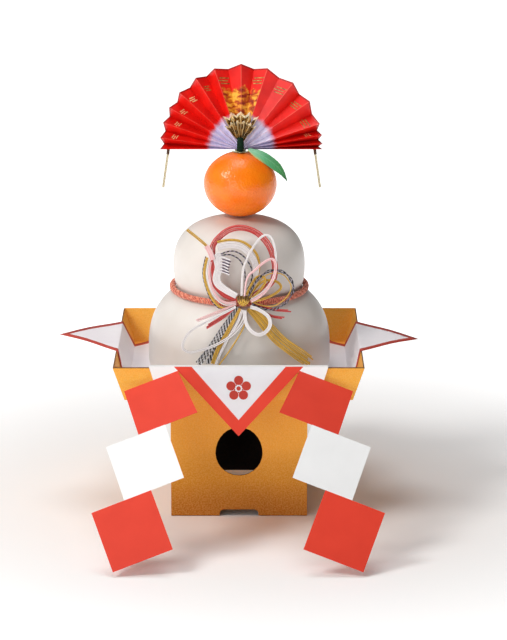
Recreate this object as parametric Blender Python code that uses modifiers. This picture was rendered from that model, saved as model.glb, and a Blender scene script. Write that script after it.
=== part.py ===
"""Kagami mochi: a moulded two-tier rice cake case, its New Year trimmings and its folded card stand.

The object rests on the drum of its stand, with its front to -Y and +Z up.  Lengths are in metres.
The model is laid out round the stand's upright axis.  At the end, everything is moved together so
that the origin lies in the middle of the footprint of the whole object, on the table.
"""

import math

import bmesh
import bpy
from mathutils import Matrix, Vector

# ---------------------------------------------------------------- driving dimensions
MM = 0.001
GAP = 0.3 * MM                  # left between pieces that touch
WELD = 0.01 * MM

BOARD = 1.2 * MM                # gold board of the stand
PAPER = 0.4 * MM                # four-corner paper and gohei card

DRUM_WIDTH = 97 * MM
DRUM_HEIGHT = 94 * MM
HOLE_RADIUS = 16.7 * MM         # round part of the jewel-shaped holes
HOLE_HEIGHT = 46.7 * MM         # centre of the round part above the table
HOLE_POINT = 23 * MM            # tip of the jewel above that centre
HOLE_RISE = 1.14                # the upper half is drawn up by this much
HOLE_NECK = 62                  # degrees: where the round part gives way to the ogee
HOLE_BEND = 19.5 * MM           # the ogee's control point above the centre
NOTCH_WIDTH = 27.5 * MM         # low notches in the front and back edges
NOTCH_HEIGHT = 4.6 * MM
NOTCH_CORNER = 2.8 * MM
NOTCH_EASE = 0.8 * MM

TRAY_FOOT = 159 * MM            # square, at its underside
TRAY_RIM = 174.4 * MM           # square, at its rim
TRAY_UNDERSIDE = DRUM_HEIGHT + GAP
RIM_HEIGHT = 119.3 * MM         # above the table
WALL_RUN = (TRAY_RIM - TRAY_FOOT) / 2 / (RIM_HEIGHT - TRAY_UNDERSIDE)
WALL_LEAN = math.atan(WALL_RUN)
RIM_TOP = RIM_HEIGHT + BOARD * math.sin(WALL_LEAN)     # inner edge of the leaning wall

SHEET_SIDE = 208 * MM           # four-corner paper, a square
WING_TILT = {"left": 1.5, "right": -3.0, "back": 0.0}

CARD_HALF_WIDTH = 62 * MM       # gohei card where it crosses the rim
CARD_BACK = 40 * MM             # how far it reaches under the case behind the axis
HANG_LEAN = 14                  # degrees that the hanging front leans away from the stand
V_HALF_WIDTH = 44.7 * MM
V_DEPTH = 48 * MM
ARM_SIDE = 43 * MM              # one square panel of an arm
ARM_TILT = 21                   # degrees: slope of the arm's fold lines
ARM_SHIFT = 0.55                # each panel steps outwards by this share of its width
ARM_INNER = (38.9 * MM, 1.6 * MM)   # inner end of the top fold: across, down from the rim
ARM_SWING = (44, 30, 14)        # degrees each panel stands forward of the hanging front

FLOOR_TOP = TRAY_UNDERSIDE + BOARD
SHEET_LEVEL = FLOOR_TOP + GAP + PAPER / 2
CARD_LEVEL = SHEET_LEVEL + GAP + PAPER
CASE_FOOT = CARD_LEVEL + PAPER / 2 + GAP
SHEET_CLEARANCE = GAP + PAPER / 2               # from the tray to the middle of the paper
CARD_CLEARANCE = SHEET_CLEARANCE + GAP + PAPER  # from the tray to the middle of the card

LOWER_RADIUS = 65.2 * MM
LOWER_EQUATOR = 113 * MM        # height where the lower tier starts to draw in
LOWER_RISE = 53 * MM
UPPER_RADIUS = 47.1 * MM
UPPER_EQUATOR = 173.5 * MM
UPPER_FALL = 36 * MM
CASE_TOP = 208.4 * MM
ROUNDNESS = 2.5                 # exponent of both tiers' outline
WAIST = 156.8 * MM              # where the two tiers meet
FOOT_RADIUS = 60 * MM
FOOT_RISE = 8 * MM

ROPE_RING = 47.8 * MM           # across the rope's centre line; a little longer front to back
ROPE_STRETCH = 1.027
ROPE_RADIUS = 2.3 * MM
ROPE_PLACE = Vector((0, -0.6 * MM, 157.8 * MM))
ROPE_SAG = 1.8                  # degrees that the ring dips to the front

ORANGE_RADIUS = 26.2 * MM
ORANGE_HALF_HEIGHT = 23.4 * MM
ORANGE_DIMPLE = 0.7 * MM
DIMPLE_WIDTH = 5 * MM
ORANGE_PLACE = Vector((1.0 * MM, 0, CASE_TOP + GAP + ORANGE_HALF_HEIGHT))
ORANGE_TOP = ORANGE_PLACE.z + ORANGE_HALF_HEIGHT

CALYX_TIP = 6.2 * MM            # five-pointed star: from its middle to a point and to a hollow
CALYX_HOLLOW = 3.6 * MM
CALYX_THICKNESS = 0.8 * MM
CALYX_PLACE = Vector((ORANGE_PLACE.x, -1.5 * MM, ORANGE_TOP + 0.2 * MM))

STEM_HEIGHT = 9.4 * MM
STEM_FOOT_RADIUS = 2.7 * MM
STEM_TOP_RADIUS = 2.5 * MM
STEM_FOOT = Vector((ORANGE_PLACE.x, -4.2 * MM, ORANGE_TOP + 0.95 * MM))

# rib of the leaf from stalk to tip: x, y, z and half width in millimetres, roll in degrees
LEAF_RIB = ((8.5, -4.5, 257, 1.5, 20), (13, -6, 256.5, 3, 25), (17.5, -6.5, 254, 4, 30),
            (23, -5.5, 250, 4, 40), (27.5, -5, 246, 3.5, 45), (31, -5, 241.5, 2.5, 50),
            (33.5, -5, 236, 0.5, 60))
LEAF_CROWN = 0.12               # height of the rib above the edges, over the half width
LEAF_THICKNESS = 0.4 * MM

FAN_RADIUS = 60.5 * MM          # straight up; the sides are drawn in a little
FAN_SIDE_DRAW = 0.045
FAN_PANEL = 10.8 * MM           # width of one pleat at the rim
FAN_VALLEY = 0.955              # valleys end short of the ridges
FAN_LEAN = 10                   # degrees back
FAN_PIVOT = Vector((1.6 * MM, 1.0 * MM, ORANGE_TOP + 1.1 * MM))
FAN_SKIN = 1.2 * MM             # measured straight back, so steep pleats stay thin
FAN_START = 5 * MM              # the pleats start this far from the pivot
FAN_RIDGES = (0, 4, 10, 18, 35, 52, 72, 90, 108.5, 122.5, 137.5, 150, 161, 172, 180)

FOIL_RADIUS = 26 * MM
FOIL_RIDGES = (56, 73, 90, 107, 124)
FOIL_PANEL = 5 * MM
FOIL_SKIN = 0.5 * MM
FOIL_START = 9 * MM
FOIL_FORWARD = 1.4 * MM         # how far it stands in front of the fan
FOIL_LEAN = 5
SHALLOWEST_PLEAT = 0.1          # least depth of a pleat over its panel's width

FAN_CORD_RADIUS = 0.9 * MM
FAN_CORD_MIDDLE = 1.8 * MM      # halfway between the two cords
FAN_CORD_DEPTH = 3 * MM
FAN_CORD_TOP = (52 * MM, 255.6 * MM)    # outwards from that middle, and up
FAN_CORD_FOOT = (56 * MM, 228 * MM)

CORD_DEPTH = 1.4 * MM           # mizuhiki bundles, front to back
LAYER = CORD_DEPTH + GAP
PLANE_TOP = 205 * MM            # the innermost layer is PLANE_REACH in front of the axis here
PLANE_REACH = 50 * MM
PLANE_SLOPE = 0.2               # and comes forward by this share of the drop below it
TAPER_SHARE = 0.4               # part of a bundle's length over which it spreads out
KNOT = Vector((3.3 * MM, 0, 161 * MM))
KNOT_RADIUS = 4.2 * MM
KNOT_ROUNDING = 0.9 * MM
KNOT_PROUD = 1.6 * MM           # in front of the outermost layer's middle
OUTER_LAYER = 5

# name, colour, layer, width in millimetres, width at the start over that width, route (across, up)
BUNDLES = (
    ("mizuhiki_red_arc", "red", 0, 3.6, 1,
     ((-18, 190), (-18, 198), (-12, 205.5), (-4, 210), (5, 210), (14, 206), (21, 198), (25, 186),
      (24, 175), (17, 168), (9.5, 163.5))),
    ("mizuhiki_red_tails", "red", 0, 4.2, 0.5, ((9, 159), (16, 156), (24, 152.5), (35, 151))),
    ("mizuhiki_beak", "gold", 1, 2.2, 1, ((-36, 209.5), (-29, 204), (-23, 199))),
    ("mizuhiki_head", "white", 3, 4.4, 1, ((-22, 198), (-19.5, 194), (-18, 189.5))),
    ("mizuhiki_neck", "gold", 1, 5.4, 0.6,
     ((-2, 159.5), (-9, 158.5), (-15, 162), (-19, 169), (-21, 177), (-20.5, 187.5))),
    ("mizuhiki_wing", "silver", 1, 8.6, 0.35,
     ((6, 167.5), (9, 172), (10, 179), (8.5, 186), (5.5, 192), (0, 196.5), (-6, 198), (-13, 196))),
    ("mizuhiki_plume", "white", 2, 4.4, 0.7,
     ((-1.5, 164.5), (-8, 168), (-14, 172.5), (-15.5, 177), (-14, 184), (-15, 190.5))),
    ("mizuhiki_pink_tails", "pink", 2, 3.2, 0.6, ((-2, 159), (-16, 152), (-30, 146))),
    ("mizuhiki_white_loop", "white", 4, 1.3, 1,
     ((2, 166.5), (3, 182), (6, 191), (10, 198.5), (15, 205), (20, 207), (24, 202.5), (26, 190),
      (24, 178), (18, 169), (8.5, 162.5))),
    ("mizuhiki_pink_loop", "pink", 5, 2.2, 0.6,
     ((4, 166.5), (6, 178), (12, 184), (18, 189), (23, 191), (25.5, 188), (25, 180), (20, 170.5),
      (14, 165), (8.5, 162))),
    ("mizuhiki_silver_loop", "silver", 3, 1.8, 1,
     ((7, 165), (10, 171.5), (14, 177), (20, 181.5), (27, 182.5), (33, 180), (37, 175), (38, 170),
      (36, 164.5), (31, 159), (25, 156), (18, 156), (9, 159.5))),
    ("mizuhiki_gold_loop", "gold", 2, 1.6, 1,
     ((7.5, 164.5), (12, 170.5), (18, 175), (26, 174.5), (29.5, 170.5), (25, 166), (17, 162.5),
      (9, 160.5))),
    ("mizuhiki_gold_tail", "gold", 1, 7.2, 0.45, ((7.5, 156.5), (15, 148.5), (29, 133.5), (49, 119))),
    ("mizuhiki_round_loop", "white", 4, 2.5, 1,
     ((8, 158), (14, 156), (20, 152), (22, 147), (20, 142), (15, 139), (10, 140.5), (6, 145),
      (4.5, 150), (4.5, 155))),
    ("mizuhiki_long_loop", "white", 3, 1.6, 1,
     ((4.5, 155.5), (3, 147.5), (-4, 139), (-14, 132.5), (-26, 128), (-34, 126.5), (-39, 129),
      (-38, 135), (-34, 140.5), (-28, 144.5), (-15, 151), (-2.5, 157.5))),
    ("mizuhiki_gold_tails", "gold", 2, 3.0, 0.7, ((1, 156), (-7.5, 140.5), (-15, 127), (-18.5, 116))),
    ("mizuhiki_bronze_tail", "gold", 2, 1.4, 1, ((4, 155), (4, 145), (-4.5, 130), (-14, 116))),
    ("mizuhiki_silver_tails", "silver", 1, 3.2, 0.7,
     ((-0.5, 156.5), (-9.5, 143.5), (-18.5, 130), (-29.5, 116))),
    ("mizuhiki_silver_tail_inner", "silver", 0, 2.4, 1,
     ((-1, 154.5), (-8, 141), (-15, 128.5), (-22.5, 116))),
)


# ---------------------------------------------------------------- scene and materials
def clear_scene():
    for item in list(bpy.data.objects):
        bpy.data.objects.remove(item)


def new_collection(name):
    group = bpy.data.collections.new(name)
    bpy.context.scene.collection.children.link(group)
    return group


def finish(name, colour, roughness, metallic=0.0):
    """A plain Principled material; colour is linear RGB."""
    material = bpy.data.materials.new(name)
    material.use_nodes = True
    shader = material.node_tree.nodes["Principled BSDF"]
    shader.inputs["Base Color"].default_value = (*colour, 1)
    shader.inputs["Roughness"].default_value = roughness
    shader.inputs["Metallic"].default_value = metallic
    return material


def add_object(name, data, material, group):
    item = bpy.data.objects.new(name, data)
    group.objects.link(item)
    item.data.materials.append(material)
    return item


def mesh_object(name, bm, material, group, smooth=False):
    mesh = bpy.data.meshes.new(name)
    bm.to_mesh(mesh)
    bm.free()
    if smooth:
        mesh.shade_smooth()
    return add_object(name, mesh, material, group)


# ---------------------------------------------------------------- shared modelling steps
def thicken(item, thickness, offset):
    """Solidify an open surface; offset -1 puts the wall behind the faces, 0 half each way."""
    wall = item.modifiers.new("thickness", "SOLIDIFY")
    wall.thickness = thickness
    wall.offset = offset
    wall.use_even_offset = True


def cut(item, cutter):
    hole = item.modifiers.new("cut", "BOOLEAN")
    hole.operation = "DIFFERENCE"
    hole.solver = "EXACT"
    hole.object = cutter


def mesh_of_curve(item):
    """The curve's evaluated shape as a mesh whose caps are welded on."""
    bpy.context.view_layer.update()
    graph = bpy.context.evaluated_depsgraph_get()
    mesh = bpy.data.meshes.new_from_object(item.evaluated_get(graph))
    bm = bmesh.new()
    bm.from_mesh(mesh)
    bmesh.ops.remove_doubles(bm, verts=bm.verts, dist=WELD)
    bmesh.ops.recalc_face_normals(bm, faces=bm.faces)
    bm.to_mesh(mesh)
    bm.free()
    return mesh


def curve_to_mesh_object(curve_item, group):
    mesh = mesh_of_curve(curve_item)
    item = bpy.data.objects.new(curve_item.name, mesh)
    item.matrix_world = curve_item.matrix_world
    name = curve_item.name
    bpy.data.objects.remove(curve_item)
    item.name = name
    group.objects.link(item)
    return item


def prism(name, outline, depth, group):
    """A flat outline in the XZ plane, given thickness along Y."""
    curve = bpy.data.curves.new(name, "CURVE")
    curve.dimensions = "2D"
    curve.fill_mode = "BOTH"
    curve.extrude = depth / 2
    spline = curve.splines.new("POLY")
    spline.points.add(len(outline) - 1)
    for point, (x, z) in zip(spline.points, outline):
        point.co = (x, z, 0, 1)
    spline.use_cyclic_u = True
    flat = bpy.data.objects.new(name, curve)
    group.objects.link(flat)
    flat.rotation_euler.x = math.radians(90)
    bpy.context.view_layer.update()
    return curve_to_mesh_object(flat, group)


def prism_cutter(name, outline, depth, group):
    cutter = prism(name, outline, depth, group)
    cutter.hide_render = True
    cutter.display_type = "WIRE"
    return cutter


def turned(name, profile, steps, material, group):
    """Turn a profile of (radius, height) about Z; it runs down its outer side, top to bottom."""
    mesh = bpy.data.meshes.new(name)
    points = [(radius, 0, height) for radius, height in profile]
    links = [(i, i + 1) for i in range(len(points) - 1)]
    mesh.from_pydata(points, links, [])
    item = add_object(name, mesh, material, group)
    screw = item.modifiers.new("turn", "SCREW")
    screw.steps = steps
    screw.render_steps = steps
    screw.use_merge_vertices = True
    screw.merge_threshold = WELD
    screw.use_smooth_shade = True
    return item


def bulge(along, exponent=ROUNDNESS):
    """Width, 0 to 1, of a rounded outline at a height of 0 to 1 above its widest place."""
    return (1 - along ** exponent) ** (1 / exponent)


# ---------------------------------------------------------------- stand
def jewel_outline(steps=24):
    """A circle drawn up to a point by two hollow curves."""
    start = math.radians(HOLE_NECK)
    stop = math.radians(-180 - HOLE_NECK)
    outline = []
    for i in range(steps + 1):
        angle = start + (stop - start) * i / steps
        height = HOLE_RADIUS * math.sin(angle)
        outline.append((HOLE_RADIUS * math.cos(angle), height * (HOLE_RISE if height > 0 else 1)))
    neck = Vector(outline[-1])
    bend = Vector((0, HOLE_BEND))
    tip = Vector((0, HOLE_POINT))
    ogee = []
    for i in range(1, 5):
        along = i / 5
        point = neck * (1 - along) ** 2 + bend * 2 * along * (1 - along) + tip * along ** 2
        ogee.append((point.x, point.y))
    outline += ogee + [tuple(tip)] + [(-x, y) for x, y in reversed(ogee)]
    return outline


def notch_outline():
    """A low opening from the lower edge up, with its two upper corners eased."""
    half = NOTCH_WIDTH / 2
    right = [(half, -MM), (half, NOTCH_HEIGHT - NOTCH_CORNER),
             (half - NOTCH_EASE, NOTCH_HEIGHT - NOTCH_EASE), (half - NOTCH_CORNER, NOTCH_HEIGHT)]
    return right + [(-x, z) for x, z in reversed(right)]


def build_drum(gold, group, cutters):
    """The square drum, open below, with a jewel-shaped hole in the front and in each side."""
    bm = bmesh.new()
    bmesh.ops.create_cube(bm, size=1)
    bmesh.ops.scale(bm, verts=bm.verts, vec=(DRUM_WIDTH, DRUM_WIDTH, DRUM_HEIGHT))
    bmesh.ops.translate(bm, verts=bm.verts, vec=(0, 0, DRUM_HEIGHT / 2))
    ends = [face for face in bm.faces if abs(face.normal.z) > 0.5]
    bmesh.ops.delete(bm, geom=ends, context="FACES_ONLY")
    drum = mesh_object("stand_drum", bm, gold, group)
    thicken(drum, BOARD, -1)

    outline = [(x, HOLE_HEIGHT + z) for x, z in jewel_outline()]
    front_hole = prism_cutter("cut_front_hole", outline, 4 * BOARD, cutters)
    front_hole.location.y = -DRUM_WIDTH / 2
    side_holes = prism_cutter("cut_side_holes", outline, DRUM_WIDTH + 4 * BOARD, cutters)
    side_holes.rotation_euler.z = math.radians(90)
    notches = prism_cutter("cut_notches", notch_outline(), DRUM_WIDTH + 4 * BOARD, cutters)
    for cutter in (front_hole, side_holes, notches):
        cut(drum, cutter)
    return drum


def build_tray(gold, group):
    """The square tray with walls that lean outwards."""
    bm = bmesh.new()
    bmesh.ops.create_cube(bm, size=1)
    for vert in bm.verts:
        top = vert.co.z > 0
        width = TRAY_RIM if top else TRAY_FOOT
        vert.co = (vert.co.x * width, vert.co.y * width, RIM_HEIGHT if top else TRAY_UNDERSIDE)
    lid = [face for face in bm.faces if face.normal.z > 0.5]
    bmesh.ops.delete(bm, geom=lid, context="FACES_ONLY")
    tray = mesh_object("stand_tray", bm, gold, group)
    thicken(tray, BOARD, -1)
    return tray


def inside_wall(height, clearance):
    """Distance from the axis of a sheet that stands clear of the tray wall's inner face."""
    outer = TRAY_FOOT / 2 + (height - TRAY_UNDERSIDE) * WALL_RUN
    return outer - (BOARD + clearance) / math.cos(WALL_LEAN)


def along_path(corners, distance):
    """The point at a distance along a path of corners, going on past its last one."""
    corners = [Vector(corner) for corner in corners]
    for start, stop in zip(corners, corners[1:]):
        step = stop - start
        if distance <= step.length or stop is corners[-1]:
            return start + step.normalized() * distance
        distance -= step.length


def path_breaks(corners):
    """Distances along a path at which it turns."""
    breaks = []
    total = 0
    for start, stop in zip(corners[:-2], corners[1:-1]):
        total += (Vector(stop) - Vector(start)).length
        breaks.append(total)
    return breaks


# ---------------------------------------------------------------- papers
def hang_point(across, down, clearance):
    """A point of the front that hangs from the rim, clearance outside the tray."""
    lean = math.radians(HANG_LEAN)
    return Vector((across,
                   -(TRAY_RIM / 2 + clearance + PAPER) - down * math.sin(lean),
                   RIM_TOP + clearance - down * math.cos(lean)))


def wing_path(side):
    """Outward distance and height of the four-corner paper on one side of the tray."""
    rim = RIM_TOP + SHEET_CLEARANCE
    foot = inside_wall(SHEET_LEVEL, SHEET_CLEARANCE)
    top = inside_wall(rim, SHEET_CLEARANCE)
    path = [(0, SHEET_LEVEL), (foot, SHEET_LEVEL), (top, rim)]
    if side == "front":
        edge = hang_point(0, 0, SHEET_CLEARANCE)
        tip = hang_point(0, 1, SHEET_CLEARANCE)
        return path + [(-edge.y, edge.z), (-tip.y, tip.z)]
    tilt = math.radians(WING_TILT[side])
    return path + [(top + math.cos(tilt), rim + math.sin(tilt))]


def build_sheet(white, group):
    """A square of paper laid corner to the front, its corners carried up and over the rim."""
    bm = bmesh.new()
    bmesh.ops.create_grid(bm, x_segments=1, y_segments=1, size=SHEET_SIDE / 2)
    bmesh.ops.rotate(bm, verts=bm.verts, matrix=Matrix.Rotation(math.radians(45), 3, "Z"))
    sides = {"right": Vector((1, 0, 0)), "left": Vector((-1, 0, 0)),
             "back": Vector((0, 1, 0)), "front": Vector((0, -1, 0))}
    for side, outward in sides.items():
        for distance in path_breaks(wing_path(side)):
            geometry = bm.verts[:] + bm.edges[:] + bm.faces[:]
            bmesh.ops.bisect_plane(bm, geom=geometry, dist=WELD,
                                   plane_co=outward * distance, plane_no=outward)
    floor = path_breaks(wing_path("back"))[0] + WELD
    for vert in bm.verts:
        flat = vert.co.copy()
        vert.co.z = SHEET_LEVEL
        for side, outward in sides.items():
            distance = flat.dot(outward)
            if distance > floor:
                reach, height = along_path(wing_path(side), distance)
                vert.co = flat + outward * (reach - distance)
                vert.co.z = height
    sheet = mesh_object("four_corner_paper", bm, white, group)
    thicken(sheet, PAPER, 0)
    return sheet


def card_point(across, down):
    """A point of the gohei card: down is measured from the rim, and is negative inside the tray."""
    if down >= 0:
        return hang_point(across, down, CARD_CLEARANCE)
    reach, height = along_path(card_path(), -down)
    return Vector((across, -reach, height))


def card_path():
    """Outward distance and height of the card, from the rim in and down to its back edge."""
    edge = hang_point(0, 0, CARD_CLEARANCE)
    top = inside_wall(edge.z, CARD_CLEARANCE)
    foot = inside_wall(CARD_LEVEL, CARD_CLEARANCE)
    return [(-edge.y, edge.z), (top, edge.z), (foot, CARD_LEVEL), (-CARD_BACK, CARD_LEVEL)]


def card_folds():
    """How far in from the rim the card turns down, turns level and ends."""
    path = card_path()
    return path_breaks(path) + [path_breaks(path + [(0, 0)])[-1]]


def arm_point(side, along, down):
    """A point of a zigzag arm, in panel widths from the outer end of its top fold."""
    tilt = math.radians(ARM_TILT)
    lean = math.radians(HANG_LEAN)
    fold = Vector((math.cos(tilt), math.sin(tilt) * math.sin(lean), math.sin(tilt) * math.cos(lean)))
    slope = Vector((math.sin(tilt), -math.cos(tilt) * math.sin(lean), -math.cos(tilt) * math.cos(lean)))
    forward = Vector((0, -math.cos(lean), math.sin(lean)))
    inner = card_point(-ARM_INNER[0], ARM_INNER[1])
    point = inner + fold * (along - 1) * ARM_SIDE
    for index, swing in enumerate(ARM_SWING):
        share = max(0, min(1, down - index))
        turn = math.radians(swing)
        point += (slope * math.cos(turn) + forward * math.sin(turn)) * share * ARM_SIDE
    return Vector((point.x * -side, point.y, point.z))


def arm_meets_v():
    """Where the top fold of an arm, in panel widths, reaches the sloping edge of the V."""
    drop = math.tan(math.radians(ARM_TILT))
    slope = V_HALF_WIDTH / V_DEPTH
    down = (ARM_INNER[1] + (V_HALF_WIDTH - ARM_INNER[0]) * drop) / (1 + slope * drop)
    across = V_HALF_WIDTH - slope * down
    length = (across - ARM_INNER[0]) / math.cos(math.radians(ARM_TILT))
    return across, down, 1 - length / ARM_SIDE


def build_card(white, group):
    """The gohei card: its base under the case, the V at the front and two zigzag arms."""
    bm = bmesh.new()

    def panel(points):
        bm.faces.new([bm.verts.new(point) for point in points])

    folds = [0] + card_folds()
    for near, far in zip(folds, folds[1:]):
        corners = [(-1, near), (1, near), (1, far), (-1, far)]
        panel([card_point(across * CARD_HALF_WIDTH, -inward) for across, inward in corners])

    across, down, meeting = arm_meets_v()
    right = [arm_point(1, 0.5, 0), card_point(across, down)]
    left = [Vector((-p.x, p.y, p.z)) for p in reversed(right)]
    front = [card_point(CARD_HALF_WIDTH, 0), card_point(-CARD_HALF_WIDTH, 0)]
    panel(front + left[::-1] + [card_point(0, V_DEPTH)] + right[::-1])

    for side in (-1, 1):
        for index in range(len(ARM_SWING)):
            shift = -index * ARM_SHIFT
            tops = [shift, shift + ARM_SHIFT, shift + 1]
            if index == 0:
                tops = [0, 0.5, meeting]
            bottoms = [shift, shift + 1 - ARM_SHIFT, shift + 1]
            columns = list(zip(tops, bottoms))
            for (a0, b0), (a1, b1) in zip(columns, columns[1:]):
                outline = [arm_point(side, a0, index), arm_point(side, a1, index),
                           arm_point(side, b1, index + 1), arm_point(side, b0, index + 1)]
                panel(outline if side < 0 else outline[::-1])

    bmesh.ops.remove_doubles(bm, verts=bm.verts, dist=WELD)
    bmesh.ops.recalc_face_normals(bm, faces=bm.faces)
    card = mesh_object("gohei_card", bm, white, group)
    thicken(card, PAPER, 0)
    return card


# ---------------------------------------------------------------- rice cake case and fruit
def case_profile(steps=12):
    """Outline of the two tiers, from the middle of the top down to the middle of the foot."""
    upper_rise = CASE_TOP - UPPER_EQUATOR
    profile = []
    for i in range(steps + 1):
        along = math.cos(math.radians(90) * i / steps)
        profile.append((UPPER_RADIUS * bulge(along), UPPER_EQUATOR + upper_rise * along))
    for i in range(1, 6):
        height = UPPER_EQUATOR + (WAIST - UPPER_EQUATOR) * i / 5
        profile.append((UPPER_RADIUS * bulge((UPPER_EQUATOR - height) / UPPER_FALL), height))
    lower_start = (WAIST - LOWER_EQUATOR) / LOWER_RISE
    for i in range(steps):
        along = lower_start * math.cos(math.radians(90) * i / (steps - 1))
        profile.append((LOWER_RADIUS * bulge(along), LOWER_EQUATOR + LOWER_RISE * along))
    for i in range(5):
        turn = math.radians(90) * i / 4
        radius = FOOT_RADIUS + (LOWER_RADIUS - FOOT_RADIUS) * math.cos(turn)
        profile.append((radius, CASE_FOOT + FOOT_RISE * (1 - math.sin(turn))))
    profile.append((0, CASE_FOOT))
    return profile


def build_case(plastic, group):
    return turned("mochi_case", case_profile(), 48, plastic, group)


def build_rope(red, group):
    """The twisted rope laid round the waist between the two tiers."""
    bpy.ops.mesh.primitive_torus_add(major_radius=ROPE_RING, minor_radius=ROPE_RADIUS,
                                     major_segments=48, minor_segments=8,
                                     location=(0, 0, 0))
    rope = bpy.context.object
    rope.data.transform(Matrix.Diagonal((1, ROPE_STRETCH, 1, 1)))
    rope.location = ROPE_PLACE
    rope.rotation_euler.x = math.radians(ROPE_SAG)
    rope.name = "waist_rope"
    rope.data.materials.append(red)
    for holder in list(rope.users_collection):
        holder.objects.unlink(rope)
    group.objects.link(rope)
    rope.data.shade_smooth()
    return rope


def orange_profile(steps=14):
    """Outline from the dimple round the stalk down to the underside."""
    profile = [(0, ORANGE_HALF_HEIGHT - ORANGE_DIMPLE)]
    for i in range(1, steps):
        turn = math.pi * i / steps
        radius = ORANGE_RADIUS * math.sin(turn)
        height = ORANGE_HALF_HEIGHT * math.cos(turn)
        if height > 0:
            height -= ORANGE_DIMPLE * math.exp(-(radius / DIMPLE_WIDTH) ** 2)
        profile.append((radius, height))
    return profile + [(0, -ORANGE_HALF_HEIGHT)]


def build_orange(peel, group):
    """A slightly flattened orange."""
    orange = turned("orange", orange_profile(), 32, peel, group)
    orange.location = ORANGE_PLACE
    return orange


def build_calyx(green, group):
    """The small five-pointed star at the stalk."""
    outline = []
    for i in range(10):
        turn = math.radians(36 * i - 90)
        reach = CALYX_TIP if i % 2 == 0 else CALYX_HOLLOW
        outline.append((reach * math.cos(turn), reach * math.sin(turn)))
    star = prism("orange_calyx", outline, CALYX_THICKNESS, group)
    star.rotation_euler.x = 0
    star.location = CALYX_PLACE
    star.data.materials.append(green)
    return star


def build_stem(green, group):
    """The taped stem that holds the fan and its foil."""
    bm = bmesh.new()
    bmesh.ops.create_cone(bm, cap_ends=True, segments=16, radius1=STEM_FOOT_RADIUS,
                          radius2=STEM_TOP_RADIUS, depth=STEM_HEIGHT)
    stem = mesh_object("orange_stem", bm, green, group, smooth=True)
    stem.location = STEM_FOOT + Vector((0, 0, STEM_HEIGHT / 2))
    return stem


def build_leaf(green, group):
    """One leaf curving over the orange's shoulder."""
    bm = bmesh.new()
    rows = []
    for x, y, z, half, roll in LEAF_RIB:
        turn = math.radians(roll)
        across = Vector((0, -math.cos(turn), -math.sin(turn))) * half
        rib = Vector((x, y, z))
        crown = Vector((0, -math.sin(turn), math.cos(turn))) * half * LEAF_CROWN
        row = (rib - across - crown, rib, rib + across - crown)
        rows.append([bm.verts.new(point * MM) for point in row])
    for first, second in zip(rows, rows[1:]):
        for i in range(2):
            bm.faces.new((first[i], first[i + 1], second[i + 1], second[i]))
    bmesh.ops.recalc_face_normals(bm, faces=bm.faces)
    leaf = mesh_object("orange_leaf", bm, green, group, smooth=True)
    smooth = leaf.modifiers.new("smooth", "SUBSURF")
    smooth.levels = 1
    smooth.render_levels = 1
    thicken(leaf, LEAF_THICKNESS, 0)
    return leaf


# ---------------------------------------------------------------- fan
def pleated(name, ridges, radius, panel, skin, start, draw, material, group):
    """A pleated half round about the Y axis: ridges in the XZ plane, valleys behind it.

    The skin is measured straight back, so the pleats never run into each other at the pivot.
    The sides are drawn in by the share draw."""
    rays = []
    for first, second in zip(ridges, ridges[1:]):
        half = math.radians(second - first) / 2
        depth = math.sqrt(max(panel ** 2 - (radius * math.sin(half)) ** 2, (SHALLOWEST_PLEAT * panel) ** 2))
        rays.append((math.radians(first), 1, 0))
        rays.append((math.radians(first) + half, FAN_VALLEY, depth))
    rays.append((math.radians(ridges[-1]), 1, 0))
    bm = bmesh.new()
    rows = []
    for angle, part, depth in rays:
        reach = radius * part * (1 - draw * (1 - math.sin(angle)))
        row = []
        for share in (start / radius, 1):
            row.append(bm.verts.new((reach * share * math.cos(angle), depth * share,
                                     reach * share * math.sin(angle))))
        rows.append(row)
    for first, second in zip(rows, rows[1:]):
        bm.faces.new((first[0], first[1], second[1], second[0]))
    front = bm.faces[:]
    back = bmesh.ops.extrude_face_region(bm, geom=front)["geom"]
    moved = [item for item in back if isinstance(item, bmesh.types.BMVert)]
    bmesh.ops.translate(bm, verts=moved, vec=(0, skin, 0))
    bmesh.ops.recalc_face_normals(bm, faces=bm.faces)
    return mesh_object(name, bm, material, group)


def build_fan(red, group):
    fan = pleated("fan", FAN_RIDGES, FAN_RADIUS, FAN_PANEL, FAN_SKIN, FAN_START, FAN_SIDE_DRAW,
                  red, group)
    fan.location = FAN_PIVOT
    fan.rotation_euler.x = math.radians(-FAN_LEAN)
    return fan


def build_foil(gold, group):
    """The gold foil crown folded in front of the fan."""
    foil = pleated("fan_foil", FOIL_RIDGES, FOIL_RADIUS, FOIL_PANEL, FOIL_SKIN, FOIL_START, 0,
                   gold, group)
    foil.location = FAN_PIVOT - Vector((0, FOIL_FORWARD, 0))
    foil.rotation_euler.x = math.radians(-FOIL_LEAN)
    return foil


# ---------------------------------------------------------------- mizuhiki
def smooth_route(route, step=3.9):
    """Points on a smooth curve through the route's own points, about step millimetres apart."""
    points = [Vector(point) for point in route]
    ends = [points[0] * 2 - points[1]] + points + [points[-1] * 2 - points[-2]]
    result = []
    for i in range(1, len(ends) - 2):
        before, start, stop, after = ends[i - 1:i + 3]
        count = max(1, round((stop - start).length / step))
        for j in range(count):
            t = j / count
            result.append(0.5 * (2 * start + (stop - before) * t
                                 + (2 * before - 5 * start + 4 * stop - after) * t ** 2
                                 + (3 * start - before - 3 * stop + after) * t ** 3))
    result.append(points[-1])
    return result


def sheet_of_cords(height, layer):
    """The leaning plane that a layer of cords lies in: its distance in front of the axis."""
    return -(PLANE_REACH + (PLANE_TOP - height) * PLANE_SLOPE) - layer * LAYER


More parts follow.
